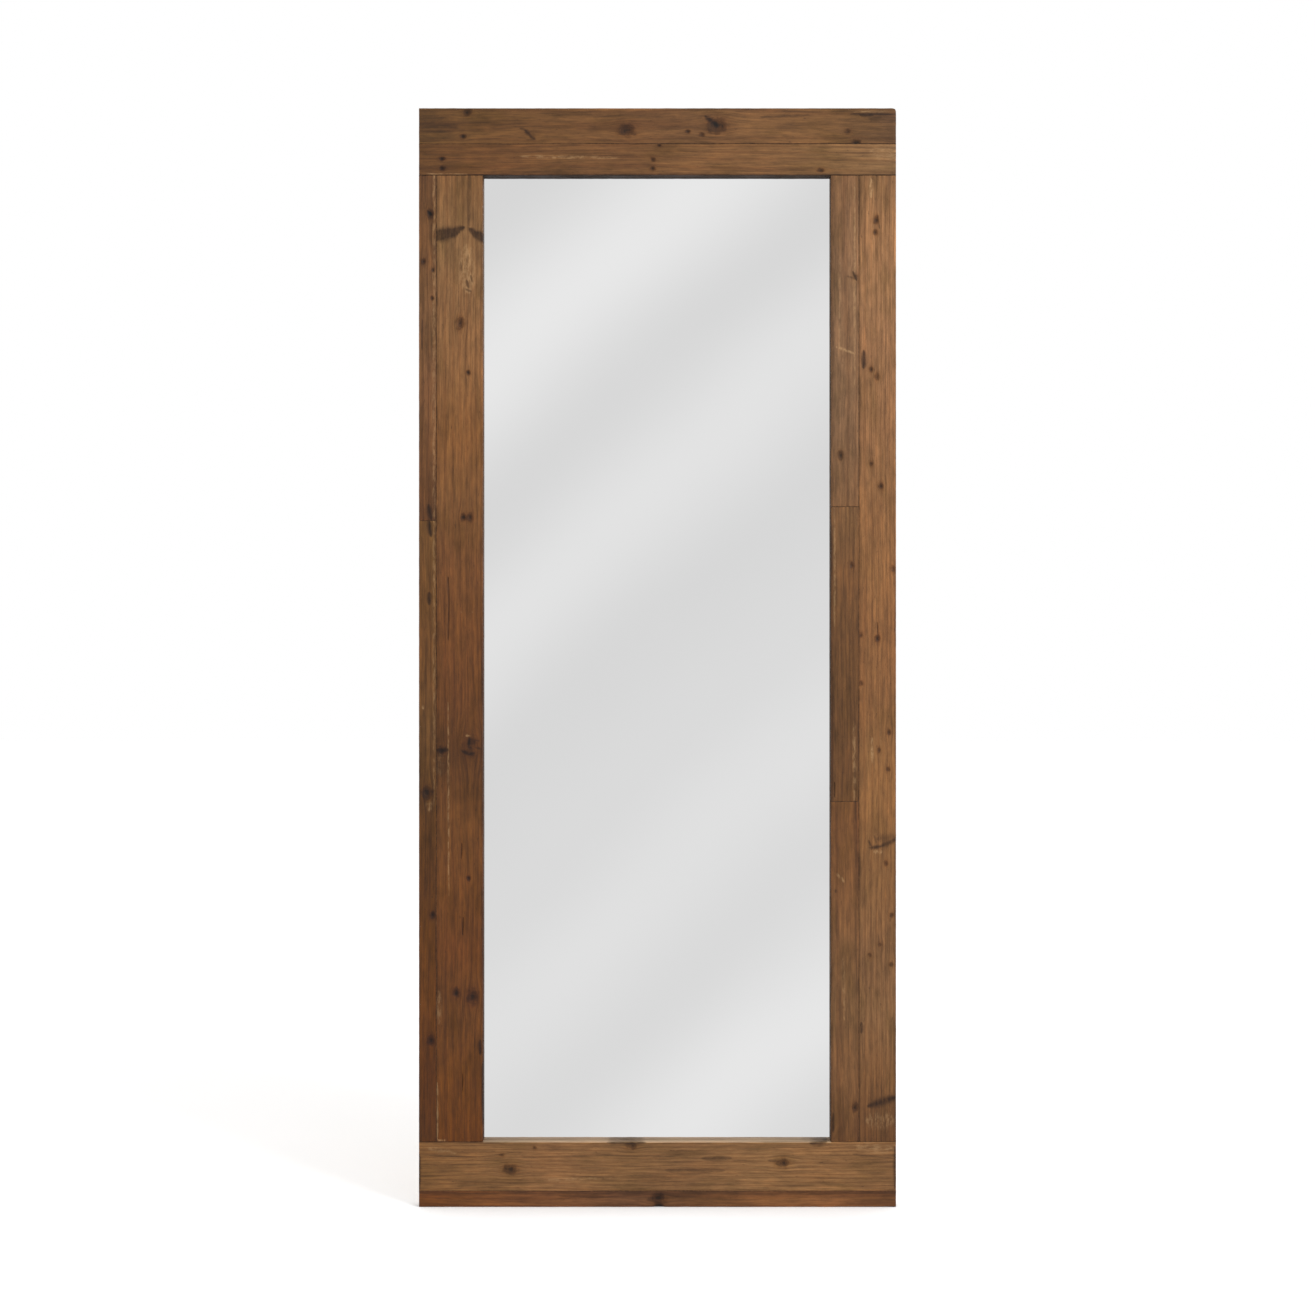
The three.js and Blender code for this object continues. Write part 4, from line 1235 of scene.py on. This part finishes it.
KINDS = {
    "batten_screw": screw("sunk_screw_long", 4 * MM, 1.6 * MM, 30 * MM, sunk_head(4 * MM, 1.6 * MM)),
    "panel_screw": screw("sunk_screw_short", 3.5 * MM, 1.4 * MM, 22 * MM, sunk_head(3.5 * MM, 1.4 * MM)),
    "hanger_screw": screw("round_head_screw", 3.6 * MM, 1.5 * MM, 16 * MM,
                          round_head(3.6 * MM, 1.5 * MM, 2 * MM)),
}
turns = np.random.default_rng(7)
for cad_node in sorted(frame["nodes"]):
    kind = next((k for k in KINDS if cad_node.startswith(k)), None)
    if kind:
        low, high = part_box(cad_node)
        work_on(KINDS[kind])
        bpy.ops.object.duplicate()
        piece = bpy.context.object
        piece.name = piece.data.name = "driven_" + cad_node
        piece.rotation_euler = (0, turns.uniform(0, math.pi / 2), 0)
        piece.location = ((low[X] + high[X]) / 2, high[Y], (low[Z] + high[Z]) / 2)
        bpy.ops.object.transform_apply(location=True, rotation=True, scale=True)
        hand_over(piece, screw_steel, cad_node)
for pattern in KINDS.values():
    bpy.data.objects.remove(pattern)
print("The screws are in")

# %% [markdown]
# ## Hangers
#
# A strap of steel strip is screwed to each side batten. Its upper end is curled round the straight
# bar of a D-ring, which can therefore swing up for the wall hook. The strap is modelled from its
# flat part. The corners of its lower end are bevelled so far that they meet in a half circle, the
# screw holes are cut, and its upper end face is spun about the ring's axis to make the eye. The
# holes come before the curl, because a Boolean is surest on a plain flat shape. A curl can leave
# the faces inside out, so that is looked at and put right.

# %% Straps
STRIP = 1.6 * MM
EYE_RADIUS = 1.8 * MM
CURL = math.radians(280)
SCREW_DROPS = (27 * MM, 49 * MM)  # how far the screws lie below the ring's axis
SCREW_HOLE = 1.8 * MM
DRILL_LENGTH = 10 * MM
FOOT_SHARE = 0.498  # just under half of the width, so that the two bevels never meet in one point
STRAP_ARRIS = 0.25 * MM


def face_outwards(piece):
    """Makes a closed solid's faces agree and look outwards: then its volume comes out positive."""
    edit_faces(piece, np.ones(len(piece.data.polygons), bool))
    bpy.ops.mesh.normals_make_consistent(inside=False)
    leave_edit()
    piece.data.calc_loop_triangles()
    corners = np.array([triangle.vertices for triangle in piece.data.loop_triangles])
    first, second, third = points(piece)[corners].transpose(1, 0, 2)
    if np.sum(first * np.cross(second, third)) < 0:
        edit_faces(piece, np.ones(len(piece.data.polygons), bool))
        bpy.ops.mesh.flip_normals()
        leave_edit()


def make_strap(cad_node, ring_axis_height):
    """A drilled strip with a round lower end and an eye curled at its upper end."""
    low, high = [np.array(corner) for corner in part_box(cad_node)]
    middle = (low[X] + high[X]) / 2
    strap = block(cad_node.replace("hanger_strap", "steel_strap"), low,
                  (high[X], low[Y] + STRIP, ring_axis_height))
    ends = edge_ends(strap)
    along_y = np.ptp(ends[:, :, Y], axis=1) > 0.5 * STRIP
    at_foot = ends[:, :, Z].max(axis=1) < low[Z] + 1 * MM
    edit_edges(strap, along_y & at_foot)
    bpy.ops.mesh.bevel(offset=FOOT_SHARE * (high[X] - low[X]), segments=12, affect="EDGES")
    leave_edit()
    cutters = []
    for drop in SCREW_DROPS:
        bpy.ops.mesh.primitive_cylinder_add(
            vertices=32, radius=SCREW_HOLE, depth=DRILL_LENGTH, rotation=(math.pi / 2, 0, 0),
            location=(middle, low[Y], ring_axis_height - drop))
        cutters.append(bpy.context.object)
    carve(strap, *cutters)
    top = np.array([face.normal.z > 0.9 and face.center.z > ring_axis_height - 1 * MM
                    for face in strap.data.polygons])
    edit_faces(strap, top)
    bpy.ops.mesh.spin(steps=28, angle=-CURL, axis=(1, 0, 0),
                      center=(middle, low[Y] + STRIP + EYE_RADIUS, ring_axis_height))
    leave_edit()
    face_outwards(strap)
    apply_modifier(strap, "BEVEL", width=STRAP_ARRIS, segments=2, limit_method="ANGLE",
                   angle_limit=math.radians(50))
    work_on(strap)
    bpy.ops.object.shade_smooth_by_angle(angle=math.radians(30))
    apply_modifier(strap, "WEIGHTED_NORMAL", keep_sharp=True)
    print(strap.name, "has", len(strap.data.polygons), "faces")
    return strap


# %% [markdown]
# The ring is a round wire. A circle is drawn at the gap in the straight bar and then extruded along
# the straights and spun round the bends, until it comes back to the other side of the gap.

# %% Rings
WIRE = 1.6 * MM
CORNER = 3 * MM
BEND_CENTRE = 5 * MM  # how far the bow's centre lies below the bar
GAP = 0.25 * MM  # half of the gap where the wire's two ends meet


def make_ring(cad_node):
    """A wire bent into a D, lying flat, with its straight bar uppermost."""
    low, high = [np.array(corner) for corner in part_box(cad_node)]
    middle = (low + high) / 2
    bar_height = high[Z] - WIRE
    half = (high[X] - low[X]) / 2 - WIRE
    bpy.ops.object.select_all(action="DESELECT")
    bpy.ops.mesh.primitive_circle_add(vertices=20, radius=WIRE, fill_type="NGON",
                                      location=(middle[X] + GAP, middle[Y], bar_height),
                                      rotation=(0, math.pi / 2, 0))
    ring = bpy.context.object
    ring.name = ring.data.name = cad_node.replace("hanger_ring", "wire_ring")
    bpy.ops.object.transform_apply(location=True, rotation=True, scale=True)

    def straight(x, z):
        """Draws the wire on, in a straight line."""
        bpy.ops.mesh.extrude_region_move(TRANSFORM_OT_translate={"value": (x, 0, z)})

    def bend(x, z, angle, steps):
        """Bends the wire round a point, given from the middle of the bar."""
        bpy.ops.mesh.spin(steps=steps, angle=-angle, axis=(0, 1, 0),
                          center=(middle[X] + x, middle[Y], bar_height + z))

    edit_faces(ring, np.ones(1, bool))
    straight(half - CORNER - GAP, 0)
    bend(half - CORNER, -CORNER, math.pi / 2, 8)
    straight(0, CORNER - BEND_CENTRE)
    bend(0, -BEND_CENTRE, math.pi, 32)
    straight(0, BEND_CENTRE - CORNER)
    bend(CORNER - half, -CORNER, math.pi / 2, 8)
    straight(half - CORNER - GAP, 0)
    bpy.ops.mesh.select_all(action="SELECT")
    bpy.ops.mesh.remove_doubles(threshold=MERGE)
    bpy.ops.mesh.normals_make_consistent(inside=False)
    leave_edit()
    work_on(ring)
    bpy.ops.object.shade_smooth_by_angle(angle=math.radians(40))
    print(ring.name, "has", len(ring.data.polygons), "faces")
    return ring


for side in ("left", "right"):
    ring = make_ring("hanger_ring_" + side)
    hand_over(ring, steel, "hanger_ring_" + side, body="ring_" + side)
    axis_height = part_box("hanger_ring_" + side)[1][Z] - WIRE
    strap = make_strap("hanger_strap_" + side, axis_height)
    hand_over(strap, steel, "hanger_strap_" + side)

# %% [markdown]
# ## Bumpers
#
# Four rubber discs keep the frame off the wall. A disc is moulded with a rounded rim and a shallow
# dish in its face.

# %% Bumpers
RIM_RADIUS = 1.5 * MM
DISH_RIM = 3 * MM
DISH_SLOPE = 1 * MM
DISH_DEPTH = 0.6 * MM

rubber, tree, shader = finish("black_rubber", Roughness=0.7)
dust = node(tree, "TexNoise", {"Vector": object_place(tree), "Scale": 420.0, "Detail": 4.0}).outputs[0]
tree.links.new(ramp(tree, dust, [(0.35, paint(34, 34, 35)), (0.7, paint(58, 57, 56))]),
               shader.inputs["Base Color"])
bump = node(tree, "Bump", {"Height": dust, "Strength": 0.3, "Distance": 0.15 * MM})
tree.links.new(bump.outputs[0], shader.inputs["Normal"])

for cad_node in sorted(name for name in frame["nodes"] if name.startswith("wall_bumper")):
    low, high = [np.array(corner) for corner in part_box(cad_node)]
    bpy.ops.object.select_all(action="DESELECT")
    bpy.ops.mesh.primitive_cylinder_add(vertices=48, radius=(high[X] - low[X]) / 2, depth=high[Y] - low[Y],
                                        location=(low + high) / 2, rotation=(-math.pi / 2, 0, 0))
    disc = bpy.context.object
    disc.name = disc.data.name = cad_node.replace("wall_bumper", "rubber_disc")
    bpy.ops.object.transform_apply(location=True, rotation=True, scale=True)
    face_up = np.array([face.normal.y > 0.9 for face in disc.data.polygons])
    edit_faces(disc, face_up)
    bpy.ops.mesh.bevel(offset=RIM_RADIUS, segments=4, affect="EDGES")
    leave_edit()
    areas = np.array([face.area * (face.normal.y > 0.99) for face in disc.data.polygons])
    edit_faces(disc, areas == areas.max())
    bpy.ops.mesh.inset(thickness=DISH_RIM)
    bpy.ops.mesh.inset(thickness=DISH_SLOPE, depth=-DISH_DEPTH)
    leave_edit()
    work_on(disc)
    bpy.ops.object.shade_smooth_by_angle(angle=math.radians(35))
    hand_over(disc, rubber, cad_node)
print("The bumpers are on")
